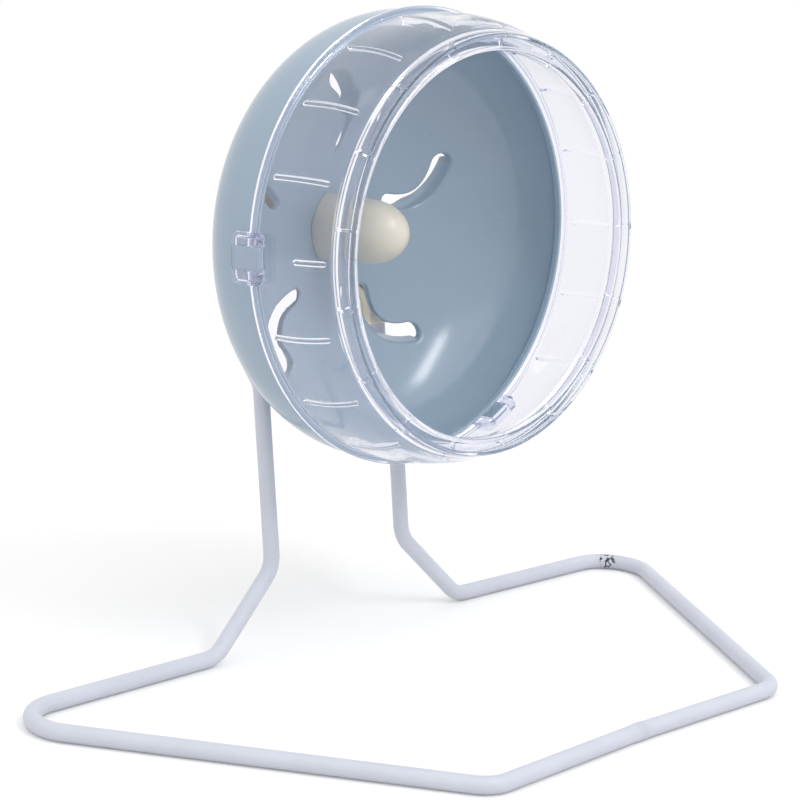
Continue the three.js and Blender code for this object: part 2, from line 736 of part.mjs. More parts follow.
// Corners of the stand's right half, from the weld in the front bar to the top of the arch.
function standCorners(frame) {
  const slope = Math.tan(UPRIGHT_LEAN);
  const legBottom = frame.position.z - BRACKET_LEG_DROP * Math.cos(UPRIGHT_LEAN);
  const upperY = (z) => frame.position.y + (z - frame.position.z) * slope;
  const lowerY = (z) => upperY(z) - JOG;
  const foot = lowerY(0);
  const jogTop = legBottom - JOG_BELOW_BRACKET;
  const jogFoot = jogTop - JOG_RISE;
  const archTop = frame.position.z + UPRIGHT_HALF_SPACING * Math.cos(UPRIGHT_LEAN);
  const corner = (x, y, z, radius) => ({ place: new THREE.Vector3(x, y, z), radius });
  return [
    corner(FRONT_HALF_WIDTH, foot - BASE_DEPTH, ROD_RADIUS, BEND),
    corner(REAR_HALF_WIDTH, foot - REAR_TOE, ROD_RADIUS, REAR_BEND),
    corner(RISE_HALF_SPACING, foot + REAR_TOE, ROD_RADIUS, BEND),
    corner(UPRIGHT_HALF_SPACING, lowerY(RISE_HEIGHT), RISE_HEIGHT, BEND),
    corner(UPRIGHT_HALF_SPACING, lowerY(jogFoot), jogFoot, JOG_BEND),
    corner(UPRIGHT_HALF_SPACING, upperY(jogTop), jogTop, JOG_BEND),
    corner(UPRIGHT_HALF_SPACING, upperY(archTop), archTop, UPRIGHT_HALF_SPACING),
  ];
}

// The stand is one rod, bent up from a floor loop into two uprights and an arch, and butt
// welded in the middle of its front bar.
function standFrame(frame) {
  const right = standCorners(frame);
  const left = right.map(({ place, radius }) => {
    const mirrored = new THREE.Vector3(-place.x, place.y, place.z);
    return { place: mirrored, radius };
  });
  const weld = new THREE.Vector3(0, right[0].place.y + FRONT_BOW, ROD_RADIUS);
  const start = weld.clone().setX(WELD_GAP / 2);
  const end = weld.clone().setX(-WELD_GAP / 2);
  const rod = bar(new BentPath(start, [...right, ...left.reverse()], end), ROD_RADIUS);
  const beadRadius = ROD_RADIUS + WELD_PROUD;
  const bead = new THREE.LatheGeometry([
    [0, -WELD_HALF_LENGTH],
    [ROD_RADIUS - WELD_PROUD, -WELD_HALF_LENGTH],
    [beadRadius, -WELD_HALF_LENGTH / 2],
    [beadRadius, WELD_HALF_LENGTH / 2],
    [ROD_RADIUS - WELD_PROUD, WELD_HALF_LENGTH],
    [0, WELD_HALF_LENGTH],
  ].map(point), SCREW_FACETS);
  bead.rotateZ(QUARTER);
  bead.translate(0, weld.y, beadRadius + WELD_FLOOR_GAP);
  return piece('stand_frame', surface(rod.add(solid(bead))), materials.coatedRod);
}

// Horseshoe outline of the bracket about the centre of the arch.
function bracketShape() {
  const outer = UPRIGHT_HALF_SPACING + ROD_RADIUS + BRACKET_SIDE_WALL - BRACKET_CHAMFER;
  const inner = outer - BRACKET_LEG_WIDTH + 2 * BRACKET_CHAMFER;
  const bottom = BRACKET_CHAMFER - BRACKET_LEG_DROP;
  const cornerHeight = bottom + BRACKET_CORNER;
  const legOuter = outer - BRACKET_CORNER;
  const legInner = inner + BRACKET_CORNER;
  const notchHeight = bottom + NOTCH_DEPTH - NOTCH_CORNER;
  const notchSide = inner - NOTCH_CORNER;
  const corner = (x, from) => arc(x, cornerHeight, BRACKET_CORNER, from, from + QUARTER, 2);
  return new THREE.Shape([
    ...arc(0, 0, outer, 0, 2 * QUARTER, ARCH_STEPS),
    ...corner(-legOuter, 2 * QUARTER),
    ...corner(-legInner, 3 * QUARTER),
    ...arc(-notchSide, notchHeight, NOTCH_CORNER, 2 * QUARTER, QUARTER, 3),
    ...arc(notchSide, notchHeight, NOTCH_CORNER, QUARTER, 0, 3),
    ...corner(legInner, 2 * QUARTER),
    ...corner(legOuter, 3 * QUARTER),
  ]);
}

// Places of the four clamp screws on the bracket.
function screwPlaces() {
  return SCREW_PLACE_SHARES.map(([side, across, up]) => (
    new THREE.Vector3(side * across * UPRIGHT_HALF_SPACING, 0, up * UPRIGHT_HALF_SPACING)));
}

// The holes for the clamp screws, stepped for the shaft and the head.
function screwHoles(profile) {
  const shape = new THREE.LatheGeometry(profile.map(point), SCREW_FACETS);
  const copies = screwPlaces().map((place) => shape.clone().translate(place.x, place.y, place.z));
  return solid(mergeGeometries(copies));
}

// Both halves of the bracket and its screws, in the frame that leans with the uprights.
function bracket(frame, wheel) {
  const fromWheel = frame.matrix.clone().invert().multiply(wheel.matrix);
  const inFrame = (body) => solid(surface(body).applyMatrix4(fromWheel));
  const depth = 2 * (BRACKET_HALF_DEPTH - BRACKET_CHAMFER);
  const plate = new THREE.ExtrudeGeometry(bracketShape(), {
    depth,
    bevelSize: BRACKET_CHAMFER,
    bevelThickness: BRACKET_CHAMFER,
    bevelSegments: 1,
  });
  plate.rotateX(QUARTER);
  plate.translate(0, depth / 2, 0);
  const headFront = headSeat();
  const headRear = headFront + BOLT_HEAD_HEIGHT;
  const headBoss = BOLT_HEAD_FLATS / Math.sqrt(3) + HEAD_BOSS_WALL;
  const middle = BOSS_FRONT + BOSS_PROUD + BRACKET_HALF_DEPTH;
  const bosses = joined([
    disc(BOSS_RADIUS, BOSS_FRONT, middle, HUB_FACETS),
    disc(headBoss, middle, headRear + HEAD_BOSS_COVER, HUB_FACETS),
  ]);
  const cuts = joined([
    disc(BOLT_RADIUS + FIT, BOSS_FRONT - OVERRUN, headRear, HUB_FACETS),
    hexagon(BOLT_HEAD_FLATS + 2 * FIT, headFront - FIT, headRear + HEAD_BOSS_COVER + OVERRUN),
  ]);
  const low = new THREE.Vector3(UPRIGHT_HALF_SPACING, 0, -2 * BRACKET_LEG_DROP);
  const top = new THREE.Vector3(UPRIGHT_HALF_SPACING, 0, UPRIGHT_HALF_SPACING);
  const flip = new THREE.Vector3(-1, 1, 1);
  const arch = new BentPath(low, [
    { place: top, radius: UPRIGHT_HALF_SPACING },
    { place: top.clone().multiply(flip), radius: UPRIGHT_HALF_SPACING },
  ], low.clone().multiply(flip));
  const shaft = SCREW_RADIUS + FIT;
  const head = SCREW_HEAD_RADIUS + FIT;
  const tip = SCREW_TIP_COVER - BRACKET_HALF_DEPTH;
  const headSeatScrew = BRACKET_HALF_DEPTH - SCREW_HEAD_HEIGHT - FIT;
  const holes = screwHoles([
    [0, tip],
    [shaft, tip],
    [shaft, headSeatScrew - FIT],
    [head, headSeatScrew - FIT],
    [head, BRACKET_HALF_DEPTH + OVERRUN],
    [0, BRACKET_HALF_DEPTH + OVERRUN],
  ]);
  const screwSolid = surface(turned([
    [0, tip + FIT],
    [SCREW_RADIUS, tip + FIT],
    [SCREW_RADIUS, headSeatScrew],
    [SCREW_HEAD_RADIUS, headSeatScrew],
    [SCREW_HEAD_RADIUS, headSeatScrew + SCREW_HEAD_HEIGHT],
    [0, headSeatScrew + SCREW_HEAD_HEIGHT],
  ], SCREW_FACETS));
  const screws = screwPlaces().map((place, i) => {
    const screw = piece(`bracket_screw_${i + 1}`, screwSolid, materials.steel);
    screw.position.copy(place);
    return screw;
  });
  const body = solid(plate).add(inFrame(bosses)).subtract(inFrame(cuts))
    .subtract(bar(arch, ROD_RADIUS + FIT)).subtract(holes);
  const reach = 2 * (UPRIGHT_HALF_SPACING + BRACKET_LEG_DROP);
  const slab = (from, to) => {
    const box = new THREE.BoxGeometry(reach, to - from, reach);
    box.translate(0, (from + to) / 2, 0);
    return solid(box);
  };
  const far = UPRIGHT_HALF_SPACING;
  frame.add(
    piece('bracket_front', surface(body.intersect(slab(-far, -FIT / 2))), materials.creamPlastic),
    piece('bracket_rear', surface(body.intersect(slab(FIT / 2, far))), materials.creamPlastic),
    ...screws,
  );
  return frame;
}

// Station of the bolt head's seat in the rear half of the bracket.
function headSeat() {
  return BOSS_FRONT + BOSS_PROUD + BRACKET_HALF_DEPTH + BRACKET_HALF_DEPTH / 2;
}

// Bolt, washers, sleeve and lock nut that hold the bearings' inner rings still.
function axle() {
  const sleeveInner = BEARING_BORE / 2;
  const headFront = headSeat();
  const bolt = disc(BOLT_RADIUS, headFront - BOLT_LENGTH, headFront + OVERRUN, HUB_FACETS)
    .add(hexagon(BOLT_HEAD_FLATS, headFront, headFront + BOLT_HEAD_HEIGHT));
  const sleeve = washer(sleeveInner, sleeveInner + SLEEVE_WALL, FRONT_BEARING_REAR + FIT,
    REAR_BEARING_FRONT - FIT, HUB_FACETS);
  const washerFront = HUB_REAR + FIT;
  const rearWasher = washer(sleeveInner, WASHER_RADIUS, washerFront, washerFront + WASHER_WALL, HUB_FACETS);
  const washerRear = HUB_FRONT - FIT;
  const frontWasher = washer(sleeveInner, WASHER_RADIUS, washerRear - WASHER_WALL, washerRear, HUB_FACETS);
  const nutRear = washerRear - WASHER_WALL - FIT;
  const collarRadius = BOLT_HEAD_FLATS / 2 - NUT_COLLAR_INSET;
  const nut = hexagon(BOLT_HEAD_FLATS, nutRear - NUT_HEIGHT + NUT_COLLAR_HEIGHT, nutRear)
    .add(disc(collarRadius, nutRear - NUT_HEIGHT, nutRear - NUT_COLLAR_HEIGHT, HUB_FACETS))
    .subtract(disc(sleeveInner, nutRear - NUT_HEIGHT - OVERRUN, nutRear + OVERRUN, HUB_FACETS));
  return [
    piece('axle_bolt', surface(bolt), materials.steel),
    piece('thrust_washer', surface(rearWasher), materials.steel),
    piece('bearing_spacer', surface(sleeve), materials.steel),
    piece('front_washer', surface(frontWasher), materials.steel),
    piece('lock_nut', surface(nut), materials.steel),
  ];
}

const wheelFrame = new THREE.Group();
wheelFrame.position.z = HUB_HEIGHT;
wheelFrame.rotation.x = -WHEEL_TIP_UP;
wheelFrame.updateMatrix();
wheelFrame.add(
  rearDish(),
  frontRing(),
  hubCap(),
  bearing('rear_bearing', HUB_REAR - BEARING_WIDTH / 2),
  bearing('front_bearing', HUB_FRONT + BEARING_WIDTH / 2),
  ...axle(),
);

const standTop = bracketFrame(wheelFrame);
const hamsterWheel = new THREE.Group();
hamsterWheel.add(wheelFrame, bracket(standTop, wheelFrame), standFrame(standTop));

// The origin is on the floor in the middle of the footprint.
const bounds = new THREE.Box3().setFromObject(hamsterWheel, true);
const middle = bounds.getCenter(new THREE.Vector3());
hamsterWheel.position.set(-middle.x, -middle.y, -bounds.min.z);

export default hamsterWheel;
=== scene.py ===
"""A hamster running wheel on a bent rod stand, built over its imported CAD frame.

Pieces of the wheel are worked out about the wheel's own axis, in metres: local Y is 0 at the
seam between dish and clear ring, minus Y is the open front and plus Y is the back. They are
then tipped and moved to the hub. The bracket has a frame of its own that leans with the rod.
A profile is a line of (radius, station) points, where a station is a place along local Y.
"""

import json
import math

import bpy
import numpy as np
from bpy.props import FloatProperty, FloatVectorProperty, IntProperty, PointerProperty
from bpy.types import Operator, Panel, PropertyGroup
from mathutils import Matrix, Quaternion, Vector


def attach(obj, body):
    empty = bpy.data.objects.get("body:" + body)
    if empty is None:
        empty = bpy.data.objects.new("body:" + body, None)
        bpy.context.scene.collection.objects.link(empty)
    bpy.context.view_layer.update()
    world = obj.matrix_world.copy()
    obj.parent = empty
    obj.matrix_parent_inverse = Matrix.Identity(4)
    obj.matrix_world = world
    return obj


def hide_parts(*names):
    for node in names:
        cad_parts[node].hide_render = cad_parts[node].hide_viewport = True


bl_info = {
    "name": "Hamster Wheel",
    "version": (1, 0, 0),
    "blender": (4, 5, 0),
    "location": "3D View > Sidebar > Hamster Wheel",
    "description": "Builds a pet running wheel and its studio around the CAD frame",
    "category": "Object",
}

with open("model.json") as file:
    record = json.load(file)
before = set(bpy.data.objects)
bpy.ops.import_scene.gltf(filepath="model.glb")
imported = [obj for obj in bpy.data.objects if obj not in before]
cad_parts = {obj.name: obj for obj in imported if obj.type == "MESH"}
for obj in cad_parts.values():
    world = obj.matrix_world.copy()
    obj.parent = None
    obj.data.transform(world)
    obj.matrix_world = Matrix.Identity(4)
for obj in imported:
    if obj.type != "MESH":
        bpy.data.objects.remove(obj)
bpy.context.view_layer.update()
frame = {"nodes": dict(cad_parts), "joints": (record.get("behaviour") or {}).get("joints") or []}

MM = 0.001
FIT = 0.3 * MM
WELD = 1e-6
FULL_TURN = 2 * math.pi
QUARTER = math.pi / 2
CREASE = math.radians(34)

# Steps round a turned piece.
COLUMNS = 96
FEW_COLUMNS = 64

# Clear ring. The shares are of its depth and of its radius at the seam.
BEAD_PROUD = 2.1 * MM
BEAD_HALF = 0.6 * MM
RIM_WALL = 1.8 * MM
RIM_BORE = 69.9 * MM
LIP_WALL = 1.6 * MM
RING_SHARES = ((0, 1), (0.5, 0.99), (0.64, 0.974), (0.78, 0.948), (0.9, 0.929), (1, 0.916))
RIB_START = math.radians(0.8)
RIB_RADIUS = 80 * MM
RIB_ENDS = (-28 * MM, -4 * MM)
SHORT_RIB_ENDS = (-30 * MM, -18 * MM)
WEB_COUNT = 17
WEB_START = math.radians(87)
WEB_RADIUS = 74 * MM
WEB_HEIGHT = 1.2 * MM
WEB_HALF = 0.56 * MM
WEB_SLOPE = 0.12 * MM
LATCH_COUNT = 3
LATCH_START = math.radians(60.9)
DRUM_RADIUS = 85 * MM

# Dish. The slot's corners are the steps of its outline that face its sector's corners.
DISH_EXPONENT = 2.45
DISH_SHOULDER = 5 * MM
DISH_INSET = 1 * MM
SPIGOT_REACH = 0.3 * MM
SPIGOT_WALL = 1.2 * MM
SLOT_START = math.radians(10.8)
SLOT_CURL = math.radians(32)
SLOT_TURN = 0.39
SLOT_LEAN = 3.8 * MM
LOW_FLANGE = 0.7 * MM
FLANGE_WALL = 1.4 * MM
SIDE_STEPS, END_STEPS = 200, 60
SLOT_CORNERS = (498, 119, 235, 481)
SECTOR_LOW = math.radians(-22)
SECTOR_HUB = 15 * MM
SECTOR_RIM = 68 * MM
SECTOR_COUNTS = (24, 36, 24, 9)
EASING_ROUNDS = 400

# Hub, bearings and axle.
HUB_RADIUS = 10.2 * MM
HUB_REAR = 54 * MM
HUB_FRONT = 28 * MM
BEARING_WIDTH = 5 * MM
BEARING_RADIUS = 8 * MM
BEARING_BORE = 2.8 * MM
BALL_RADIUS = 1.3 * MM
BALL_PITCH = 5.3 * MM
BALL_COUNT = 7
RACE_LAND = 0.95 * MM
SHIELD = 0.3 * MM
WASHER = 0.7 * MM
HEAD_SEAT = 63.3 * MM
HEAD_FLATS = 8 * MM
HEAD_HEIGHT = 3.5 * MM
BOLT_LENGTH = 45 * MM
CHAMFER_SLOPE = math.tan(math.radians(60))

# Bracket and stand. The screws' shares are of the uprights' half spacing. The scorched spot and
# the camera have places whose y is counted from the hub.
LEAN = math.radians(8.5)
BOSS_FRONT = 55.3 * MM
BOSS_PROUD = 1.4 * MM
HALF_DEPTH = 4.4 * MM
ARCH_DROP = 9.7 * MM
LEG_LENGTH = 35.4 * MM
NOTCH_HEIGHT = 17.2 * MM
NOTCH_CORNER = 11 * MM
SCREW_SHARES = ((1, 0.52, 0.4), (-1, 0.52, 0.4), (1, 0.62, -0.34), (-1, 0.62, -0.34))
BURN = (155.6 * MM, 24.2 * MM, 3.6 * MM)

# Studio. A lamp has a place, a width and height, and a turn in degrees about its own axis.
KEY_LAMP = ((-0.55, -0.7, 1.9), (1.9, 1.9), 0)
FILL_LAMP = ((0.15, -1.3, 1.6), (0.26, 0.9), -45)
LAMP_AIM = (0, 0, 0.12)
CAMERA_PLACE = (-0.61376, -0.58247, 0.28730)
FLOOR_RADIUS = 6
FLOOR_LEVEL = -0.2 * MM


def length(name, millimetres, description):
    """A length property in metres, with its default given in millimetres."""
    return FloatProperty(
        name=name, description=description, default=millimetres * MM, min=0, unit="LENGTH", precision=5
    )


def colour(name, red, green, blue, description):
    """A colour property, with its default given as the 0 to 255 of a screen."""
    screen = np.array([red, green, blue]) / 255
    linear = np.where(screen > 0.04045, ((screen + 0.055) / 1.055) ** 2.4, screen / 12.92)
    return FloatVectorProperty(
        name=name, description=description, default=tuple(linear), min=0, max=1, subtype="COLOR"
    )


class WheelSizes(PropertyGroup):
    """Sizes of the wheel and its stand."""

    wheel_radius: length("Wheel radius", 85, "Radius over the bead at the seam")
    wall: length("Wall", 2, "Thickness of the dish and the clear ring")
    ring_depth: length("Ring depth", 39.1, "Reach of the clear ring in front of the seam")
    rim_channel: length("Rim channel", 5, "Depth of the channel round the mouth")
    rib_height: length("Rib height", 1.2, "Height of the ribs that the pet runs on")
    rib_width: length("Rib width", 2, "Width of the ribs that the pet runs on")
    dish_depth: length("Dish depth", 51, "Depth of the dish behind the seam")
    flange_height: length("Flange height", 3.6, "Height of the flanges round the slots")
    slot_inner_width: length("Slot width at the hub", 5.0, "Width of a slot at its inner end")
    slot_outer_width: length("Slot width at the side", 7.8, "Width of a slot at its outer end")
    slot_inner_radius: length("Slot start", 31.5, "Radius where a slot starts")
    slot_outer_radius: length("Slot end", 58.0, "Radius where a slot ends")
    cap_radius: length("Cap radius", 13, "Radius of the cap at its base")
    cap_length: length("Cap length", 39.7, "Length of the cap")
    rod_diameter: length("Rod diameter", 6.2, "Diameter of the stand's rod with its coat")
    upright_spacing: length("Upright spacing", 70.8, "Distance between the two uprights")
    rear_width: length("Rear width", 348.4, "Width of the floor loop at the back, corner to corner")
    front_width: length("Front width", 156.4, "Width of the floor loop at the front")
    base_depth: length("Base depth", 150.8, "Depth of the floor loop")
    rib_count: IntProperty(name="Ribs", description="Ribs round the ring", default=18, min=3)
    slot_count: IntProperty(name="Slots", description="Slots in the dish", default=5, min=1)


class WheelColours(PropertyGroup):
    """Colours of the finishes, each named for the piece or stuff that wears it."""

    dish: colour("Dish", 148, 166, 183, "Blue-grey plastic of the dish")
    cream: colour("Cap and bracket", 217, 211, 198, "Cream plastic")
    rod: colour("Rod", 202, 205, 216, "Powder coat of the rod")
    ring: colour("Ring", 250, 250, 255, "Tint of the clear ring")
    zinc: colour("Screws and bolt", 190, 192, 196, "Zinc plate")
    bearing: colour("Bearings", 205, 205, 208, "Bearing steel")
    cage: colour("Cages", 96, 92, 84, "Nylon of the bearing cages")


class StudioSettings(PropertyGroup):
    """Camera and light."""

    azimuth: FloatProperty(name="Azimuth", description="Turn of the view", default=-46.2068)
    elevation: FloatProperty(name="Elevation", description="Height of the view", default=12.4998)
    roll: FloatProperty(name="Roll", description="Roll of the view", default=2.9488)
    lens: FloatProperty(name="Lens", description="Focal length in millimetres", default=103.5, min=1)
    ambient: FloatProperty(name="Ambient", description="Strength of the even light", default=0.93, min=0)
    key: FloatProperty(name="Key light", description="Power of the key light", default=8.0, min=0)
    fill: FloatProperty(name="Fill light", description="Power of the fill light", default=8.0, min=0)


# Shader graphs. A noise's scale is in features a metre, and a bump's distance in metres.


class Wire:
    """One output of a shader node. Arithmetic on it adds Math nodes."""

    def __init__(self, graph, socket):
        self.graph = graph
        self.socket = socket

    def __add__(self, other):
        return self.graph.maths("ADD", self, other)

    def __radd__(self, other):
        return self.graph.maths("ADD", other, self)

    def __sub__(self, other):
        return self.graph.maths("SUBTRACT", self, other)

    def __rsub__(self, other):
        return self.graph.maths("SUBTRACT", other, self)

    def __mul__(self, other):
        return self.graph.maths("MULTIPLY", self, other)

    def __rmul__(self, other):
        return self.graph.maths("MULTIPLY", other, self)

    def __pow__(self, other):
        return self.graph.maths("POWER", self, other)


class Graph:
    """The node tree of one material or of the world."""

    def __init__(self, owner):
        owner.use_nodes = True
        self.tree = owner.node_tree
        self.tree.nodes.clear()

    def node(self, kind, output, inputs=None, **settings):
        """Adds a node, sets its settings, then its inputs, and returns the named output."""
        made = self.tree.nodes.new("ShaderNode" + kind)
        for key, value in settings.items():
            setattr(made, key, value)
        for key, value in (inputs or {}).items():
            socket = made.inputs[key]
            if isinstance(value, Wire):
                self.tree.links.new(value.socket, socket)
            elif hasattr(value, "__len__") and len(value) == 3 and len(socket.default_value) == 4:
                socket.default_value = (*value, 1)
            else:
                socket.default_value = value
        return None if output is None else Wire(self, made.outputs[output])

    def maths(self, operation, *values):
        """A Math node on wires and numbers."""
        return self.node("Math", 0, dict(enumerate(values)), operation=operation)

    def place(self):
        """Object coordinates, which are the row frame in metres."""
        return self.node("TexCoord", "Object")

    def in_wheel(self):
        """Object coordinates turned and moved into the wheel's own frame."""
        inputs = {"Vector": self.place(), "Location": tuple(WHEEL.origin), "Rotation": (WHEEL.tilt, 0, 0)}
        return self.node("Mapping", "Vector", inputs, vector_type="TEXTURE")

    def stretched(self, place, factor):
        """A place stretched along Y, so that a noise on it runs in lines."""
        return self.node("Mapping", "Vector", {"Vector": place, "Scale": (1, factor, 1)})

    def distance(self, place, point):
        """Distance from a point, in metres."""
        return self.node("VectorMath", "Value", {0: place, 1: tuple(point)}, operation="DISTANCE")

    def ray(self, kind):
        """One output of Light Path."""
        return self.node("LightPath", kind)

    def noise(self, place, scale, detail=3.0, roughness=0.55):
        """Noise about 0.5 at a place."""
        inputs = {"Vector": place, "Scale": scale, "Detail": detail, "Roughness": roughness}
        return self.node("TexNoise", "Fac", inputs)

    def spread(self, value, low, high):
        """0 below low, 1 above high, and smooth between them."""
        inputs = {"Value": value, "From Min": low, "From Max": high}
        return self.node("MapRange", "Result", inputs, interpolation_type="SMOOTHSTEP")

    def blend(self, factor, first, second):
        """A colour between two colours."""
        inputs = {0: factor, 6: first, 7: second}
        return self.node("Mix", 2, inputs, data_type="RGBA", clamp_factor=True)

    def clouded(self, cloud, low, high, tint, dark, light):
        """A tint that drifts between two shades of itself with a cloud."""
        return self.blend(self.spread(cloud, low, high), shade(tint, dark), shade(tint, light))

    def scuffs(self, place, scale):
        """Fine scratches: a noise stretched along Y and cut to thin lines, in patches."""
        lines = self.noise(self.stretched(place, 0.12), scale, 2.0)
        return self.spread(lines, 0.66, 0.72) * self.spread(self.noise(place, scale / 9), 0.5, 0.7)

    def bump(self, height, distance, strength, under=None):
        """A normal from a height, laid over another normal if one is given."""
        inputs = {"Height": height, "Distance": distance, "Strength": strength}
        if under is not None:
            inputs["Normal"] = under
        return self.node("Bump", "Normal", inputs)

    def surface(self, tint, rough, **others):
        """A Principled shader. In the names of its other sockets, _ stands for a space."""
        others = {name.replace("_", " "): value for name, value in others.items()}
        return self.node("BsdfPrincipled", "BSDF", {"Base Color": tint, "Roughness": rough, **others})

    def mix(self, factor, first, second):
        """A shader between two shaders."""
        return self.node("MixShader", "Shader", {0: factor, 1: first, 2: second})

    def finish(self, shader, output="OutputMaterial"):
        """Links a shader to the output."""
        self.node(output, None, {"Surface": shader})


def finish_of(kind, build, *values):
    """The finish of a kind of piece, made once, in its colour from the panel."""
    name = kind + "_finish"
    found = bpy.data.materials.get(name)
    if found is None:
        found = bpy.data.materials.new(name)
        build(Graph(found), tuple(getattr(bpy.context.scene.wheel_colours, kind)), *values)
    return found


def shade(tint, factor):
    """A colour made darker or lighter."""
    return tuple(min(1.0, channel * factor) for channel in tint)


def glossy_dish(graph, tint):
    """Polished opaque plastic with faint flow lines round the hub, dust and fine scratches."""
    place = graph.in_wheel()
    across, up = (graph.node("SeparateXYZ", axis, {"Vector": place}) for axis in "XZ")
    radius = (across * across + up * up) ** 0.5
    flow = graph.noise(place, 38)
    rings = graph.maths("SINE", radius * 900 + flow * 9)
    cloud = graph.noise(place, 16, 4.0)
    scratch = graph.scuffs(place, 700)
    dust = graph.spread(graph.noise(place, 2600, 1.0), 0.74, 0.8)
    colour_wire = graph.clouded(cloud, 0.25, 0.75, tint, 0.965, 1.03)
    colour_wire = graph.blend(dust * 0.25 + scratch * 0.12, colour_wire, shade(tint, 1.25))
    rough = cloud * 0.07 + 0.15 + scratch * 0.18 + dust * 0.2
    waviness = graph.bump(flow + rings * 0.02, 0.00012, 0.5)
    normal = graph.bump(graph.noise(place, 1500, 2.0) - scratch * 0.6, 0.000012, 0.6, waviness)
    graph.finish(graph.surface(colour_wire, rough, Normal=normal, IOR=1.6))


def satin_cream(graph, tint):
    """Satin moulded plastic with a spark-eroded grain and slightly rubbed high spots."""
    place = graph.place()
    cloud = graph.noise(place, 55, 4.0)
    scratch = graph.scuffs(place, 900)
    colour_wire = graph.clouded(cloud, 0.3, 0.7, tint, 0.97, 1.02)
    colour_wire = graph.blend(scratch * 0.2, colour_wire, shade(tint, 0.86))
    rough = cloud * 0.1 + 0.26 - scratch * 0.06
    normal = graph.bump(graph.noise(place, 3800, 2.0), 0.00002, 0.55)
    graph.finish(graph.surface(
        colour_wire, rough, Normal=normal, IOR=1.5, Subsurface_Weight=0.06, Subsurface_Scale=0.002
    ))


def powder_coat(graph, tint, burn, weld):
    """Satin powder coat with orange peel, a scorched patch and a heat tint at the weld."""
    place = graph.place()
    peel = graph.noise(place, 1250, 1.5, 0.4)
    cloud = graph.noise(place, 60, 4.0)
    grime = graph.spread(graph.noise(place, 420, 4.0), 0.63, 0.75)
    colour_wire = graph.clouded(cloud, 0.3, 0.7, tint, 0.97, 1.02)
    colour_wire = graph.blend(grime * 0.12, colour_wire, shade(tint, 0.7))
    near_weld = 1 - graph.spread(graph.distance(place, weld) + (cloud - 0.5) * 0.004, 0.003, 0.0046)
    colour_wire = graph.blend(near_weld * 0.16, colour_wire, (0.34, 0.36, 0.36))
    ragged = graph.distance(place, burn) + (graph.noise(place, 420) - 0.5) * 0.006
    scorch = 1 - graph.spread(ragged, 0.0034, 0.0044)
    rim = 1 - graph.spread(ragged, 0.004, 0.008)
    colour_wire = graph.blend(rim * 0.2, colour_wire, (0.4, 0.39, 0.4))
    strokes = graph.maths("ABSOLUTE", graph.noise(place, 330, 1.5) - 0.5)
    soot = scorch * (1 - graph.spread(strokes, 0.04, 0.08))
    colour_wire = graph.blend(soot * 0.95, colour_wire, (0.02, 0.02, 0.03))
    rough = cloud * 0.1 + 0.42 + scorch * 0.3
    normal = graph.bump(peel - scorch * 1.5, 0.00004, 0.6)
    graph.finish(graph.surface(colour_wire, rough, Normal=normal, IOR=1.5))


def clear_ring(graph, tint):
    """Polished clear plastic with a faint orange peel. Its shadow is pale, and light that has
    bounced inside it for long gets out straight."""
    place = graph.in_wheel()
    scratch = graph.scuffs(place, 800)
    normal = graph.bump(graph.noise(place, 90, 1.0) + scratch * 0.02, 0.00006, 0.3)
    glass = graph.surface(tint, scratch * 0.05 + 0.004, Normal=normal, IOR=1.49, Transmission_Weight=1.0)
    freed, through = (
        graph.node("BsdfTransparent", "BSDF", {"Color": tone})
        for tone in ((0.92, 0.92, 0.96), (0.955, 0.96, 0.975))
    )
    glass = graph.mix(graph.maths("GREATER_THAN", graph.ray("Ray Depth"), 4.5), glass, freed)
    indirect = graph.maths("MAXIMUM", graph.ray("Is Shadow Ray"), graph.ray("Is Diffuse Ray"))
    graph.finish(graph.mix(indirect, glass, through))


def metal(graph, tint, brushed, roughness):
    """Plated or ground steel with fine tool marks and a little tarnish."""
    place = graph.place()
    marks = graph.noise(graph.stretched(place, 8), brushed, 2.0)
    tarnish = graph.spread(graph.noise(place, 300, 4.0), 0.4, 0.75)
    colour_wire = graph.blend(tarnish * 0.5, tint, shade(tint, 0.78))
    rough = tarnish * 0.12 + roughness + marks * 0.08
    normal = graph.bump(marks, 0.000006, 0.5)
    graph.finish(graph.surface(colour_wire, rough, Normal=normal, Metallic=1.0))


def nylon(graph, tint):
    """Matt moulded nylon with a mottled grain."""
    grain = graph.noise(graph.place(), 2400)
    colour_wire = graph.blend(grain, shade(tint, 0.85), shade(tint, 1.12))
    normal = graph.bump(grain, 0.00002, 0.5)
    graph.finish(graph.surface(colour_wire, grain * 0.2 + 0.45, Normal=normal))


# Shapes.


class Place:
    """A frame turned about X and moved to an origin."""

    def __init__(self, tilt, origin):
        self.tilt = tilt
        self.origin = np.array(origin, float)

    def put(self, points):
        """Points in the row frame: y cos - z sin and y sin + z cos, then the origin added."""
        x, y, z = np.moveaxis(np.asarray(points, float), -1, 0)
        cosine, sine = math.cos(self.tilt), math.sin(self.tilt)
        return np.stack([x, y * cosine - z * sine, y * sine + z * cosine], axis=-1) + self.origin


def wheel_place():
    """The wheel's frame, from the joint that it turns on."""
    spin = next(joint for joint in frame["joints"] if joint["name"] == "wheel_spin")
    _, axial, rise = spin["axis"]
    return Place(math.atan2(-rise, -axial), spin["pos_m"])


WHEEL = wheel_place()


def bracket_place():
    """The bracket's frame: it leans with the rods, and its plane is found from the hub's boss."""
    away = np.array([0, math.cos(LEAN), -math.sin(LEAN)])
    along = np.array([0, math.sin(LEAN), math.cos(LEAN)])
    on_plane = WHEEL.put([0, BOSS_FRONT, 0]) + away * (BOSS_PROUD + HALF_DEPTH)
    height = WHEEL.origin[2] - ARCH_DROP
    return Place(-LEAN, on_plane + along * (height - on_plane[2]) / along[2])


BRACKET = bracket_place()


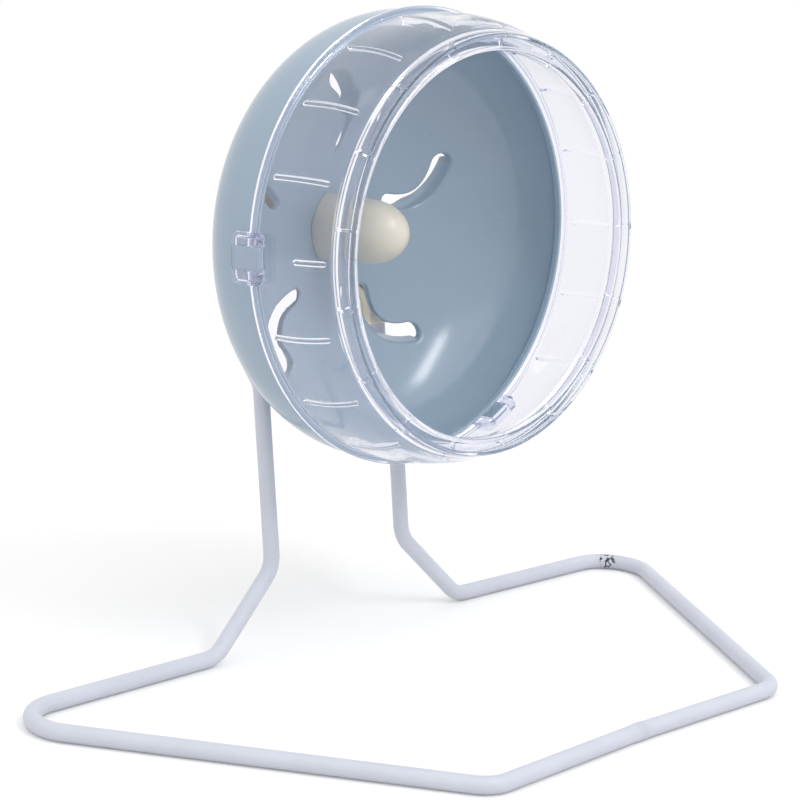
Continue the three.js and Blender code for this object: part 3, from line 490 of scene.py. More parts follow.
class Shell:
    """One closed surface, gathered from grids of points that meet at shared edges."""

    def __init__(self):
        self.points = []
        self.quads = []

    def add(self, points, wrap_rows=False, wrap_columns=False):
        """Adds quads between the neighbours of a grid of points, rows by columns."""
        rows, columns = points.shape[:2]
        index = np.arange(rows * columns).reshape(rows, columns) + sum(map(len, self.points))
        if wrap_rows:
            index = np.concatenate([index, index[:1]])
        if wrap_columns:
            index = np.concatenate([index, index[:, :1]], axis=1)
        corners = [index[:-1, :-1], index[1:, :-1], index[1:, 1:], index[:-1, 1:]]
        self.points.append(points.reshape(-1, 3))
        self.quads.append(np.stack(corners, axis=-1).reshape(-1, 4))
        return self

    def welded(self):
        """Points and faces with doubles merged, collapsed sides dropped and faces outwards."""
        points = np.concatenate(self.points)
        keys = np.round(points / WELD + 0.29)
        _, first, number = np.unique(keys, axis=0, return_index=True, return_inverse=True)
        quads = number.reshape(-1)[np.concatenate(self.quads)]
        points = points[first]
        same = quads == np.roll(quads, -1, axis=1)
        whole = quads[~same.any(axis=1)]
        partly = same.sum(axis=1) == 1
        triangles = quads[partly][~same[partly]].reshape(-1, 3)
        check_closed([whole, triangles])
        halves = np.concatenate([whole[:, [0, 1, 2]], whole[:, [0, 2, 3]], triangles])
        a, b, c = points[halves].transpose(1, 0, 2)
        if np.einsum("ij,ij->i", a, np.cross(b, c)).sum() < 0:
            whole, triangles = whole[:, ::-1], triangles[:, ::-1]
        return points, whole, triangles


def check_closed(groups):
    """Raises an error unless each edge has one face on either side."""
    edges = [np.stack([faces, np.roll(faces, -1, axis=1)], axis=-1).reshape(-1, 2) for faces in groups]
    first, second = np.concatenate(edges).astype(np.int64).T
    size = max(first.max(), second.max()) + 1
    forward, backward = first * size + second, second * size + first
    if len(np.unique(forward)) != len(forward) or not np.isin(backward, forward).all():
        raise ValueError("a surface isn't closed, or its grids don't turn the same way")


def smoothed(mesh):
    """Gives a mesh smooth faces, with sharp edges where they turn by the crease angle."""
    mesh.polygons.foreach_set("use_smooth", [True] * len(mesh.polygons))
    mesh.set_sharp_from_angle(angle=CREASE)
    mesh.update()
    return mesh


def mesh_of(shells):
    """A smooth mesh of welded shells."""
    points, faces, start = [], [], 0
    for shell in shells:
        where, quads, triangles = shell.welded()
        points.append(where)
        faces += (quads + start).tolist() + (triangles + start).tolist()
        start += len(where)
    mesh = bpy.data.meshes.new("shells")
    mesh.from_pydata(np.concatenate(points), [], faces)
    return smoothed(mesh)


def add_object(name, mesh):
    """An object at the origin, in the scene."""
    mesh.name = name
    made = bpy.data.objects.new(name, mesh)
    bpy.context.scene.collection.objects.link(made)
    return made


def add_piece(name, mesh, finish, body, node):
    """A finished piece that rides on a body and stands for a CAD node."""
    made = add_object(name, mesh)
    mesh.materials.clear()
    mesh.materials.append(finish)
    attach(made, body)
    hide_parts(node)


def even_angles(count, start=0.0):
    """Angles spread evenly round a turn."""
    return start + np.arange(count) * FULL_TURN / count


def turn_between(angles, others):
    """Size of the turn from one angle to another, at most half a turn."""
    return np.abs((angles - others + math.pi) % FULL_TURN - math.pi)


def unit(vectors):
    """Vectors brought to length 1."""
    return vectors / np.linalg.norm(vectors, axis=-1, keepdims=True)


def smooth_share(share):
    """A share from 0 to 1 with soft ends: t^2 (3 - 2 t)."""
    share = np.clip(share, 0, 1)
    return share**2 * (3 - 2 * share)


def polar(radius, angle):
    """Flat points at a radius and an angle."""
    return np.stack([radius * np.cos(angle), radius * np.sin(angle)], axis=-1)


def around(radius, station, angles):
    """Points round local Y: (r cos a, y, r sin a)."""
    parts = radius * np.cos(angles), station, radius * np.sin(angles)
    return np.stack(np.broadcast_arrays(*parts), axis=-1)


def lathe(profile, angles):
    """A profile carried round local Y."""
    radius, station = np.asarray(profile, float).T
    return around(radius[:, None], station[:, None], angles)


def tube(points, place=WHEEL, closed=False):
    """A shell of one grid that closes round its columns, and along its rows too if closed."""
    return Shell().add(place.put(points), wrap_rows=closed, wrap_columns=True)


def turned(profile, columns, closed=False):
    """A shell of a closed profile, or of one that starts and ends on the axis."""
    return tube(lathe(profile, even_angles(columns)), closed=closed)


def rounded(corners, closed=False, steps=4):
    """A line of (radius, station, rounding) corners, each rounded by an arc.

    The arc touches both sides at rounding / tan(half the corner's angle) from the corner, and
    its points turn evenly about the centre, which lies on the corner's bisector.
    """
    corners = [np.array(corner, float) for corner in corners]
    line = []
    for i, corner in enumerate(corners):
        at = corner[:2]
        if corner[2] == 0 or (not closed and i in (0, len(corners) - 1)):
            line.append(at)
            continue
        back, ahead = unit(corners[i - 1][:2] - at), unit(corners[(i + 1) % len(corners)][:2] - at)
        half = math.acos(np.clip(back @ ahead, -1, 1)) / 2
        centre = at + unit(back + ahead) * corner[2] / math.sin(half)
        start, end = (at + way * corner[2] / math.tan(half) - centre for way in (back, ahead))
        turn = math.pi - 2 * half
        share = np.linspace(0, 1, steps + 1)[:, None]
        arms = np.sin((1 - share) * turn) * start + np.sin(share * turn) * end
        line.extend(centre + arms / math.sin(turn))
    return np.array(line)


# Dish.


def dish_reach(sizes, offset):
    """Side radius and depth of the dish's curve, grown by an offset."""
    return sizes.wheel_radius - DISH_INSET + offset, sizes.dish_depth - DISH_SHOULDER + offset


def dish_curve(radius, sizes, offset):
    """Station of the dish at a radius: shoulder + depth (1 - (r / side)^n)^(1 / n)."""
    side, depth = dish_reach(sizes, offset)
    share = np.clip(radius / side, 0, 1)
    return DISH_SHOULDER + depth * (1 - share**DISH_EXPONENT) ** (1 / DISH_EXPONENT)


def dish_side(sizes, offset, steps=26):
    """The dish's curve from the sectors' rim to its side, by the curve's own angle:
    radius side cos(t)^(2/n) and station shoulder + depth sin(t)^(2/n)."""
    side, depth = dish_reach(sizes, offset)
    power = 2 / DISH_EXPONENT
    angle = np.linspace(math.acos((SECTOR_RIM / side) ** (1 / power)), 0, steps)
    station = DISH_SHOULDER + depth * np.sin(angle) ** power
    station[0] = dish_curve(SECTOR_RIM, sizes, offset)
    return np.stack([side * np.cos(angle) ** power, station], axis=-1)


def slot_outline(sizes):
    """A slot's outline and its outward directions: out along the low side, round the outer end,
    back along the high side and round the inner end.

    The radius of its centre line grows evenly, and the angle by the square of the way along from
    where the line points straight out.
    """
    steps, ends = np.arange(SIDE_STEPS), np.zeros(END_STEPS, int)
    order = np.concatenate([steps, ends - 1, steps[::-1], ends])
    along = np.linspace(0, 1, SIDE_STEPS)
    radius = sizes.slot_inner_radius + (sizes.slot_outer_radius - sizes.slot_inner_radius) * along
    line = polar(radius, SLOT_START + SLOT_CURL * (along - SLOT_TURN) ** 2)
    heading = np.gradient(line, axis=0)
    angle = np.arctan2(heading[:, 1], heading[:, 0])
    sweep = np.linspace(-QUARTER, QUARTER, END_STEPS)
    turns = [angle - QUARTER, angle[-1] + sweep, angle[::-1] + QUARTER, angle[0] + math.pi + sweep]
    width = sizes.slot_inner_width + (sizes.slot_outer_width - sizes.slot_inner_width) * along
    away = polar(1, np.concatenate(turns))
    return line[order] + away * width[order, None] / 2, away


def along_legs(corners):
    """Values spread evenly between each two of five corners, as many as the border has steps."""
    legs = [
        np.linspace(corners[i], corners[i + 1], count, endpoint=False)
        for i, count in enumerate(SECTOR_COUNTS)
    ]
    return np.concatenate(legs)


def slot_ring(sizes):
    """The outline sampled to match the border of its sector of the dish, corner to corner."""
    loop = np.concatenate(slot_outline(sizes), axis=1)
    loop = np.concatenate([loop, loop[:1]])
    run = np.concatenate([[0], np.cumsum(np.linalg.norm(np.diff(loop[:, :2], axis=0), axis=1))])
    last, *others = run[list(SLOT_CORNERS)]
    places = along_legs([last - run[-1], *others, last]) % run[-1]
    loop = np.stack([np.interp(places, run, column) for column in loop.T], axis=-1)
    return loop[:, :2], unit(loop[:, 2:])


def sector_border(sizes):
    """Border of one sector of the dish: out along its low side, round, in, and back at the hub."""
    low, high = SECTOR_LOW, SECTOR_LOW + FULL_TURN / sizes.slot_count
    corners = [(SECTOR_HUB, low), (SECTOR_RIM, low), (SECTOR_RIM, high), (SECTOR_HUB, high)]
    return polar(*along_legs(corners + corners[:1]).T)


def eased_rings(inner, outer, count):
    """Rings between two loops, smoothed until each point is the mean of its four neighbours."""
    share = np.linspace(0, 1, count)[:, None, None]
    rings = inner * (1 - share) + outer * share
    for _ in range(EASING_ROUNDS):
        middle = rings[1:-1]
        sides = np.roll(middle, 1, axis=1) + np.roll(middle, -1, axis=1)
        rings[1:-1] = (rings[:-2] + rings[2:] + sides) / 4
    return rings


def slot_section(sizes):
    """One sector as rows of (x, z, station), from its border inside the dish, through the
    slot's rounded lip, wall and flange, to its border outside.

    On the slot's clockwise side the wall is a ramp that leans over the slot: a point moves round
    the axis by its share of the way from the inner lip to the flange's top.
    """
    at, out = slot_ring(sizes)
    sideways = unit(np.stack([-at[:, 1], at[:, 0]], axis=-1))
    clockwise = smooth_share(0.35 - 0.75 * (out * sideways).sum(axis=1))
    grow = smooth_share((np.linalg.norm(at, axis=1) - 32 * MM) / (12 * MM))
    steep = clockwise * (0.25 + 0.75 * grow)
    lean = sideways * (SLOT_LEAN * steep)[:, None]
    top = LOW_FLANGE + (sizes.flange_height - LOW_FLANGE) * steep
    lip, tip, root = 0.8 * MM, 0.45 * MM, 1.2 * MM
    rings = eased_rings(at + out * (FLANGE_WALL + root), sector_border(sizes), 15)

    def row(flat, offset):
        station = dish_curve(np.linalg.norm(flat, axis=1), sizes, offset)
        return np.concatenate([flat, station[:, None]], axis=1)

    def level(offset, height):
        share = (height + sizes.wall) / (top + sizes.wall)
        return row(at + out * offset + lean * share[:, None], height)

    low = np.full(len(at), -sizes.wall)
    curve = [(1 - math.cos(a), 1 - math.sin(a)) for a in np.linspace(0, QUARTER, 5)]
    foot = np.minimum(root, top - tip) * 0.9
    rows = [row(flat, -sizes.wall) for flat in rings[::-1]]
    rows += [level(offset, low) for offset in (2.0 * MM, 1.4 * MM)]
    rows += [level(lip * across, low + lip * down) for down, across in curve]
    rows += [level(0, low + lip + (top - tip - low - lip) * share) for share in (0.33, 0.66)]
    rows += [level(tip * across, top - tip * down) for across, down in curve]
    rows += [level(FLANGE_WALL - tip * across, top - tip * down) for across, down in curve[::-1]]
    rows += [level(FLANGE_WALL + root * across, foot * down) for across, down in curve[:-1]]
    rows += [row(flat, 0) for flat in rings]
    return np.array(rows)


def dish_shell(sizes):
    """The dish: five slotted sectors, its side with the spigot, and its hub, as one surface."""
    shell = Shell()
    x, z, station = np.moveaxis(slot_section(sizes), -1, 0)
    for turn in even_angles(sizes.slot_count):
        across = x * math.cos(turn) - z * math.sin(turn)
        up = x * math.sin(turn) + z * math.cos(turn)
        shell.add(WHEEL.put(np.stack([across, station, up], axis=-1)), wrap_columns=True)
    for profile, leg, way in ((dish_rim(sizes), 1, 1), (dish_hub(sizes), 3, -1)):
        angles = even_angles(sizes.slot_count * SECTOR_COUNTS[leg], SECTOR_LOW)[::way]
        shell.add(WHEEL.put(lathe(profile, angles)), wrap_columns=True)
    return shell


def dish_rim(sizes):
    """Profile from the outside of the slotted part, round the front edge, to its inside."""
    side, inside = sizes.wheel_radius - DISH_INSET, sizes.wheel_radius - DISH_INSET - sizes.wall
    spigot, edge, soft = sizes.wheel_radius - BEAD_PROUD - sizes.wall - FIT, 0.9 * MM, 0.35 * MM
    bore = spigot - SPIGOT_WALL
    corners = rounded([
        (side, DISH_SHOULDER, 0), (side, edge, soft), (spigot, edge, 0.2 * MM),
        (spigot, -SPIGOT_REACH, soft), (bore, -SPIGOT_REACH, soft), (bore, 2.3 * MM, 1.2 * MM),
        (inside, 4.8 * MM, 1.0 * MM), (inside, DISH_SHOULDER, 0),
    ])
    inner_side = dish_side(sizes, -sizes.wall)[::-1]
    return np.concatenate([dish_side(sizes, 0)[:-1], corners[:-1], inner_side])


def dish_hub(sizes):
    """Profile from the outside of the slotted part, over the hub and through its bores."""
    seat, bore, foot, lip, chamfer = BEARING_RADIUS + FIT, 6.5 * MM, 13 * MM, 0.4 * MM, 0.3 * MM
    rear_seat, front_seat = HUB_REAR - BEARING_WIDTH - FIT, HUB_FRONT + BEARING_WIDTH + FIT
    outer, inner = (
        [dish_curve(radius, sizes, offset) for radius in (SECTOR_HUB, foot, HUB_RADIUS)]
        for offset in (0, -sizes.wall)
    )
    return rounded([
        (SECTOR_HUB, outer[0], 0), (foot, outer[1], 0), (HUB_RADIUS, outer[2], 1.4 * MM),
        (HUB_RADIUS, HUB_REAR, lip), (seat, HUB_REAR, chamfer), (seat, rear_seat, 0),
        (bore, rear_seat, 0), (bore, front_seat, 0), (seat, front_seat, 0),
        (seat, HUB_FRONT, chamfer), (HUB_RADIUS, HUB_FRONT, lip),
        (HUB_RADIUS, inner[2], 0.8 * MM), (foot, inner[1], 0), (SECTOR_HUB, inner[0], 0),
    ])


# Latches: blocks bent round the drum.


def block_rings(width, low, high, corner, insets):
    """Nested outlines of a rounded rectangle in width and station, one for each inset."""
    rings = []
    for inset in insets:
        half, reach = width / 2 - inset, (high - low) / 2 - inset
        bend = min(max(corner - inset, 0.05 * MM), half, reach)
        arcs = [
            polar(bend, np.linspace(0, QUARTER, 7) + i * QUARTER) + [x * (half - bend), y * (reach - bend)]
            for i, (x, y) in enumerate([(1, 1), (-1, 1), (-1, -1), (1, -1)])
        ]
        runs = [np.linspace(arcs[i][-1], arcs[(i + 1) % 4][0], 6, endpoint=False)[1:] for i in range(4)]
        parts = [part for pair in zip(arcs, runs) for part in pair]
        rings.append(np.concatenate(parts) + [0, (low + high) / 2])
    return np.array(rings)


def at_latches(rings, radii):
    """A block at each latch: its outlines at their radii, where the angle grows by width / radius."""
    width, station = np.moveaxis(rings, -1, 0)
    turns = [angle + width / DRUM_RADIUS for angle in even_angles(LATCH_COUNT, LATCH_START)]
    return [tube(around(radii, station, turn)) for turn in turns]


def tongue_shells():
    """The three tongues: blocks with rounded edges that reach forward from the dish."""
    width, front, rear, corner = 8.6 * MM, -3.6 * MM, 7.7 * MM, 1.2 * MM
    middle, top, bottom, edge = width / 2, 85 * MM, 82.6 * MM, 0.35 * MM
    insets, radii = np.transpose([
        (middle, bottom), (0.2 * MM, bottom), (0, bottom + 0.2 * MM), (0, top - edge),
        (edge * 0.3, top - edge * 0.3), (edge, top), (2 * MM, top), (middle, top),
    ])
    return at_latches(block_rings(width, front, rear, corner, insets), radii[:, None])


def hood_shells():
    """A clear hood over each latch. Its section goes from the middle of the roof inside, down to
    the foot, which steps from the ring's skin to the dish's, and up to the middle of the top."""
    front, rear, corner, wall = -5.5 * MM, 8 * MM, 3 * MM, 1.5 * MM
    middle, top, roof = (rear - front) / 2, 86.9 * MM, 85.3 * MM
    step, low_foot, high_foot, foot = 1.2 * MM, 82.6 * MM, 84.3 * MM, math.nan
    insets, levels = np.transpose([
        (middle, roof), (wall + 0.7 * MM, roof), (wall + 0.1 * MM, roof - 0.6 * MM), (wall, foot),
        (0, foot), (0, top - 0.9 * MM), (0.25 * MM, top - 0.25 * MM), (0.9 * MM, top), (3 * MM, top),
        (middle, top),
    ])
    rings = block_rings(18.6 * MM, front, rear, corner, insets)
    feet = np.where(rings[:, :, 1] < step, low_foot, high_foot)
    return at_latches(rings, np.where(np.isnan(levels)[:, None], feet, levels[:, None]))


def end_blocks():
    """Solid clear blocks at both ends of each hood, which taper to the front."""
    half, front, rear, corner = 2.2 * MM, 5.2 * MM, 4.2 * MM, 1.6 * MM
    middle, taper, top, bottom = 6.9 * MM, 0.8, 85.2 * MM, 82.5 * MM
    insets, radii = np.transpose([
        (half, bottom), (0.1 * MM, bottom), (0, bottom + 0.2 * MM), (0, top - 0.3 * MM),
        (0.3 * MM, top), (half, top + 0.05 * MM),
    ])
    shells = []
    for side in (-1, 1):
        rings = block_rings(2 * half, -front, rear, corner, insets)
        forward = np.clip(-rings[:, :, 1] / front, 0, 1) ** 2
        rings[:, :, 0] += side * (middle - taper * forward * (side * rings[:, :, 0] + half))
        shells += at_latches(rings, radii[:, None])
    return shells


# Clear ring.


def ring_skin(station, sizes):
    """Radius of the ring's outer skin: a cubic through the shares, by their slopes."""
    shares, radii = np.array(RING_SHARES).T
    slopes = np.gradient(radii, shares)
    slopes[0] = 0
    depth = np.clip(-np.asarray(station) / sizes.ring_depth, 0, 1)
    i = np.clip(np.searchsorted(shares, depth, side="right") - 1, 0, len(shares) - 2)
    span = shares[i + 1] - shares[i]
    t = (depth - shares[i]) / span
    smooth = (
        (2 * t**3 - 3 * t**2 + 1) * radii[i] + (t**3 - 2 * t**2 + t) * span * slopes[i]
        + (3 * t**2 - 2 * t**3) * radii[i + 1] + (t**3 - t**2) * span * slopes[i + 1]
    )
    return (sizes.wheel_radius - BEAD_PROUD) * smooth


def ring_profile(sizes):
    """Closed profile of the ring: outer skin, bead, inner skin, web, lip and channel. The inner
    skin has rows close together at the ends of the ribs."""
    front, floor = -sizes.ring_depth, sizes.rim_channel - sizes.ring_depth
    web, brim, soft = floor + RIM_WALL, front + 0.9 * MM, 0.45 * MM
    ends = np.linspace(0, 1.2, 7) * MM
    rows = [np.linspace(web + 1.6 * MM, -MM, 34)]
    for start, end in (RIB_ENDS, SHORT_RIB_ENDS):
        rows += [start + ends, end - ends]
    rows = np.sort(np.concatenate(rows))
    rows = rows[np.diff(rows, append=0) > 0.1 * MM][::-1]
    top, low, lip = sizes.wheel_radius, sizes.wheel_radius - BEAD_PROUD, RIM_BORE + LIP_WALL

    def skin(station, inset, rounding=0):
        return ring_skin(station, sizes) - inset, station, rounding

    return rounded([
        skin(front, 0, 0.5 * MM), *(skin(y, 0) for y in np.linspace(front + 0.6 * MM, -1.2 * MM, 34)),
        (low, -BEAD_HALF, 0.3 * MM), (top, -BEAD_HALF, soft), (top, BEAD_HALF, soft),
        (low - sizes.wall, BEAD_HALF, 0.3 * MM), *(skin(y, sizes.wall) for y in rows),
        skin(web, sizes.wall, 1.2 * MM), (RIM_BORE, web, 0.8 * MM), (RIM_BORE, brim, 0.6 * MM),
        (lip, brim, 0.6 * MM), (lip, floor, 0.7 * MM), skin(floor, RIM_WALL, 0.7 * MM),
        skin(front, RIM_WALL, 0.5 * MM),
    ], closed=True)


def ring_columns(sizes):
    """Angles round the ring, close together at each rib and web."""
    rib = np.array([0, 0.35, 0.6, 0.8, 0.93, 1.0, 1.3]) * MM / RIB_RADIUS
    web = np.array([0, 0.3, 0.48, 0.56, 0.75]) * MM / WEB_RADIUS
    coarse, finest = 120, 0.0012
    groups = [even_angles(coarse)]
    for offsets, count, start in ((rib, sizes.rib_count, RIB_START), (web, WEB_COUNT, WEB_START)):
        groups += [angle + np.concatenate([-offsets, offsets]) for angle in even_angles(count, start)]
    angles = np.unique(np.round(np.concatenate(groups) % FULL_TURN, 5))
    return angles[np.diff(angles, append=angles[0] + FULL_TURN) > finest]


def rib_lift(angles, stations, sizes):
    """Height of the tread ribs: the distance inside a rib's rounded outline, brought to the
    full height over a quarter circle. The middle rib between two latches is short."""
    height = np.zeros((len(stations), len(angles)))
    half, group, soft = sizes.rib_width / 2, sizes.rib_count // LATCH_COUNT, 0.7 * MM
    for number, centre in enumerate(even_angles(sizes.rib_count, RIB_START)):
        front, rear = SHORT_RIB_ENDS if number % group == group // 2 else RIB_ENDS
        across = turn_between(angles, centre) * RIB_RADIUS
        beyond = np.maximum(np.maximum(front + half - stations, stations - rear + half), 0)
        inside = np.clip((half - np.hypot(across, beyond[:, None])) / soft, 0, 1)
        height = np.maximum(height, sizes.rib_height * np.sqrt(1 - (1 - inside) ** 2))
    return height


def ring_shell(sizes):
    """The turned ring, with ribs lifted from its inner skin and webs from its channel floor."""
    profile, angles, slack = ring_profile(sizes), ring_columns(sizes), 0.1 * MM
    radius, station = (np.repeat(part, len(angles), axis=1) for part in np.split(profile, 2, axis=1))
    at, along = profile.T
    skin = ring_skin(along, sizes)
    inner = (np.abs(at - skin + sizes.wall) < slack / 2) & (along < -2 * MM)
    radius[inner] -= rib_lift(angles, along[inner], sizes)
    floor = sizes.rim_channel - sizes.ring_depth
    channel = (at > RIM_BORE + LIP_WALL - slack) & (at < skin - RIM_WALL + slack) & (along < floor + slack)
    gaps = turn_between(angles, even_angles(WEB_COUNT, WEB_START)[:, None]).min(axis=0) * WEB_RADIUS
    mask = np.clip((WEB_HALF - gaps) / WEB_SLOPE, 0, 1)
    crest = np.minimum(station[channel], floor - WEB_HEIGHT)
    station[channel] += (crest - station[channel]) * mask
    return tube(around(radius, station, angles), closed=True)


# Hub cap, bearings and axle.


def cap_profile(sizes):
    """Bullet: a quarter ellipse nose on a slightly tapered barrel, open at the back."""
    rear, nose, dome, bore, crown = 48.7 * MM, 12.2 * MM, 17 * MM, HUB_RADIUS + FIT, 3 * MM
    base = rear - sizes.cap_length + dome
    arc = np.linspace(0, QUARTER, 20)
    outer, inner = (
        np.stack([radius * np.sin(arc), base - reach * np.cos(arc)], axis=-1)
        for radius, reach in ((nose, dome), (bore, dome - crown))
    )
    skirt = rounded([
        (nose, base, 0), (sizes.cap_radius, rear, 0.4 * MM), (bore, rear, 0.3 * MM), (bore, base, 0),
    ])
    return np.concatenate([outer[:-1], skirt[:-1], inner[::-1]])


def groove(sign, steps=9):
    """Ball groove of a race, from front to rear: an arc about the ball's centre."""
    reach = BALL_RADIUS + FIT
    edge = math.acos(RACE_LAND / reach)
    angle = np.linspace(-edge, edge, steps)
    return [(BALL_PITCH + sign * reach * math.cos(a), reach * math.sin(a), 0) for a in angle]


def bearing_profiles():
    """Profiles of a bearing's inner ring, outer ring and shields, about its middle."""
    half, lip, soft = BEARING_WIDTH / 2, 0.25 * MM, 0.1 * MM
    land, outer_land = BALL_PITCH - RACE_LAND, BALL_PITCH + RACE_LAND
    seat, deep = outer_land + 0.25 * MM, half - 0.7 * MM
    bore, edge = BEARING_BORE, BEARING_RADIUS
    low, high = land + FIT, seat - FIT / 2
    inner = [(bore, -half, lip), (land, -half, lip), *groove(-1), (land, half, lip), (bore, half, lip)]
    outer = [
        (seat, -half, soft), (edge, -half, lip), (edge, half, lip), (seat, half, soft),
        (seat, deep, 0), (outer_land, deep, 0), *groove(1)[::-1], (outer_land, -deep, 0), (seat, -deep, 0),
    ]
    shield = [(low, 0, 0), (high, 0, 0), (high, SHIELD, 0), (low, SHIELD, 0)]
    return [rounded(profile, closed=True) for profile in (inner, outer, shield)]


def ball_shell(centre):
    """A sphere about a point, closed at its poles."""
    polar_angle = np.linspace(0, math.pi, 13)
    profile = np.stack([np.sin(polar_angle), -np.cos(polar_angle)], axis=-1) * BALL_RADIUS
    return tube(lathe(profile, even_angles(24)) + centre)


def hexagon(angles, flats):
    """Radius of a hexagon over its flats: flats / 2 / cos(angle from the nearest flat)."""
    return flats / 2 / np.cos(angles % (math.pi / 3) - math.pi / 6)


def bolt_shell():
    """Bolt: a chamfered hexagon head, where the hexagon meets a flat cone, on a round shaft."""
    angles = even_angles(COLUMNS)
    seat, tip, dent = HEAD_SEAT, HEAD_SEAT - BOLT_LENGTH, HEAD_SEAT + HEAD_HEIGHT - 0.12 * MM
    shaft, face = 2.5 * MM, HEAD_FLATS / 2 - 0.1 * MM
    stem = lathe([
        (0, tip), (shaft - 0.5 * MM, tip), (shaft, tip + 0.5 * MM), (shaft, seat - 0.4 * MM),
        (shaft + 0.3 * MM, seat), (face, seat), (face, seat + 0.25 * MM),
    ], angles)
    heights = np.array([0.3, 1.6, 2.6, 2.9, 3.1, 3.25, 3.36, 3.44, 3.5])[:, None] * MM
    cone = HEAD_FLATS / 2 - 0.15 * MM + (HEAD_HEIGHT - heights) * CHAMFER_SLOPE
    head = around(np.minimum(hexagon(angles, HEAD_FLATS), cone), seat + heights, angles)
    cap = lathe([(2.6 * MM, seat + HEAD_HEIGHT), (2.3 * MM, dent), (0, dent)], angles)
    return tube(np.concatenate([stem, head, cap]))


def nut_shell():
    """Lock nut: a hexagon with a round collar at its front, bored for the bolt."""
    angles = even_angles(COLUMNS)
    rear = HUB_FRONT - FIT - WASHER - FIT
    heights = np.array([0, 0.06, 0.14, 0.3, 0.5, 3.1, 3.3, 3.46, 3.54, 3.6])[:, None] * MM
    cone = HEAD_FLATS / 2 - 0.1 * MM + np.minimum(heights, heights[-1] - heights) * CHAMFER_SLOPE
    side = around(np.minimum(hexagon(angles, HEAD_FLATS), cone), rear - heights, angles)
    start = lathe([(BEARING_BORE, rear), (HEAD_FLATS / 2 - 0.3 * MM, rear)], angles)
    radius, foot, front = 3.4 * MM, rear - 3.7 * MM, rear - 5 * MM
    collar = rounded([
        (radius + 0.1 * MM, foot + 0.1 * MM, 0), (radius, foot, 0), (radius, front, 0.5 * MM),
        (BEARING_BORE, front, 0.2 * MM), (BEARING_BORE, rear, 0),
    ])
    return tube(np.concatenate([start, side, lathe(collar[:-1], angles)]), closed=True)


def washer_shell(radius, front, thickness):
    """A washer or sleeve on the bolt, with slightly rounded edges."""
    edge, bore, rear = min(0.12 * MM, thickness / 4), BEARING_BORE, front + thickness
    corners = [(bore, front, edge), (radius, front, edge), (radius, rear, edge), (bore, rear, edge)]
    return turned(rounded(corners, closed=True, steps=2), FEW_COLUMNS, closed=True)


# Bracket.


def screw_shell(centre):
    """Clamp screw: a pan head with a cross recess, on a plain shaft, in the bracket's frame."""
    angles = even_angles(COLUMNS)
    head, shaft, tip, seat, top = 2.7 * MM, 1.5 * MM, -2.9 * MM, 2.3 * MM, 4.1 * MM
    stem = lathe([
        (0, tip), (shaft - 0.3 * MM, tip), (shaft, tip + 0.4 * MM), (shaft, seat - 0.2 * MM),
        (shaft + 0.1 * MM, seat),
    ], angles)
    edge = lathe(rounded([
        (head - 0.2 * MM, seat, 0), (head, seat + 0.2 * MM, 0), (head, top, 0.5 * MM),
        (head - 0.8 * MM, top, 0),
    ]), angles)
    radius = np.concatenate([np.linspace(1.8, 0.6, 9), [0.5, 0.4, 0.3, 0.15, 0]])[:, None] * MM
    arm, reach, deep = 0.42 * MM, 1.5 * MM, 1.1 * MM
    across = np.sort(np.abs(polar(radius, angles)), axis=-1)
    depth = deep * np.clip((arm - across[..., 0]) / (0.1 * MM), 0, 1)
    depth *= np.clip((reach - across[..., 1]) / (0.5 * MM), 0, 1)
    face = around(radius, top - depth, angles)
    return tube(np.concatenate([stem, edge, face]) + centre, BRACKET)


def screw_centres(sizes):
    """Places of the clamp screws in the bracket's frame."""
    half = sizes.upright_spacing / 2
    return [np.array([side * across * half, 0, up * half]) for side, across, up in SCREW_SHARES]


def bracket_lines(sizes):
    """Four lines of the horseshoe from leg to leg: its outer edge, both edges of the rod's
    channel and its inner edge, each as (x, z)."""
    half, channel = sizes.upright_spacing / 2, sizes.rod_diameter / 2 + FIT
    outer = half + sizes.rod_diameter / 2 + 1.2 * MM
    inner, corner, bottom = outer - 12 * MM, NOTCH_CORNER, -LEG_LENGTH
    straight = NOTCH_HEIGHT - corner
    leg = np.array([0, 0.06, 0.15, 0.35, 0.6, 0.9, 1.3, 2.0]) * MM
    leg = np.concatenate([leg, np.linspace(3.5 * MM, straight, 4)])
    upper = np.linspace(straight, LEG_LENGTH, 15)[1:-1]

    def mirrored(*parts):
        """Parts of the left side, a part across the middle, and the left side mirrored."""
        *left, across = parts
        left = np.concatenate(left)
        return np.concatenate([left, across, left[::-1] * [-1, 1]])

    def rise(radius, heights):
        return np.stack([np.full(len(heights), -radius), bottom + heights], axis=-1)

    def outward(radius):
        heights = np.concatenate([leg, upper])
        return mirrored(rise(radius, heights), polar(radius, np.linspace(math.pi, 0, 61)))

    bend = polar(corner, np.linspace(math.pi, QUARTER, len(upper) + 1)[1:])
    bend += [corner - inner, bottom + straight]
    flat = np.linspace(bend[-1], bend[-1] * [-1, 1], 63)[1:-1]
    edges = [outward(radius) for radius in (outer, half + channel, half - channel)]
    return *edges, mirrored(rise(inner, leg), bend, flat), leg


def end_inset(leg, count, corner):
    """How far a side steps in near the legs' ends: corner - sqrt(corner^2 - (corner - h)^2)."""
    near = corner - np.sqrt(np.maximum(corner**2 - np.maximum(corner - leg, 0) ** 2, 0))
    inset = np.zeros(count)
    inset[: len(leg)] = near
    inset[-len(leg):] = near[::-1]
    return inset[:, None]


def side_of(line, turn):
    """Unit vectors square to a line: to its right for turn 1, and to its left for -1."""
    heading = np.gradient(line, axis=0)
    return unit(np.stack([heading[:, 1], -heading[:, 0]], axis=-1) * turn)


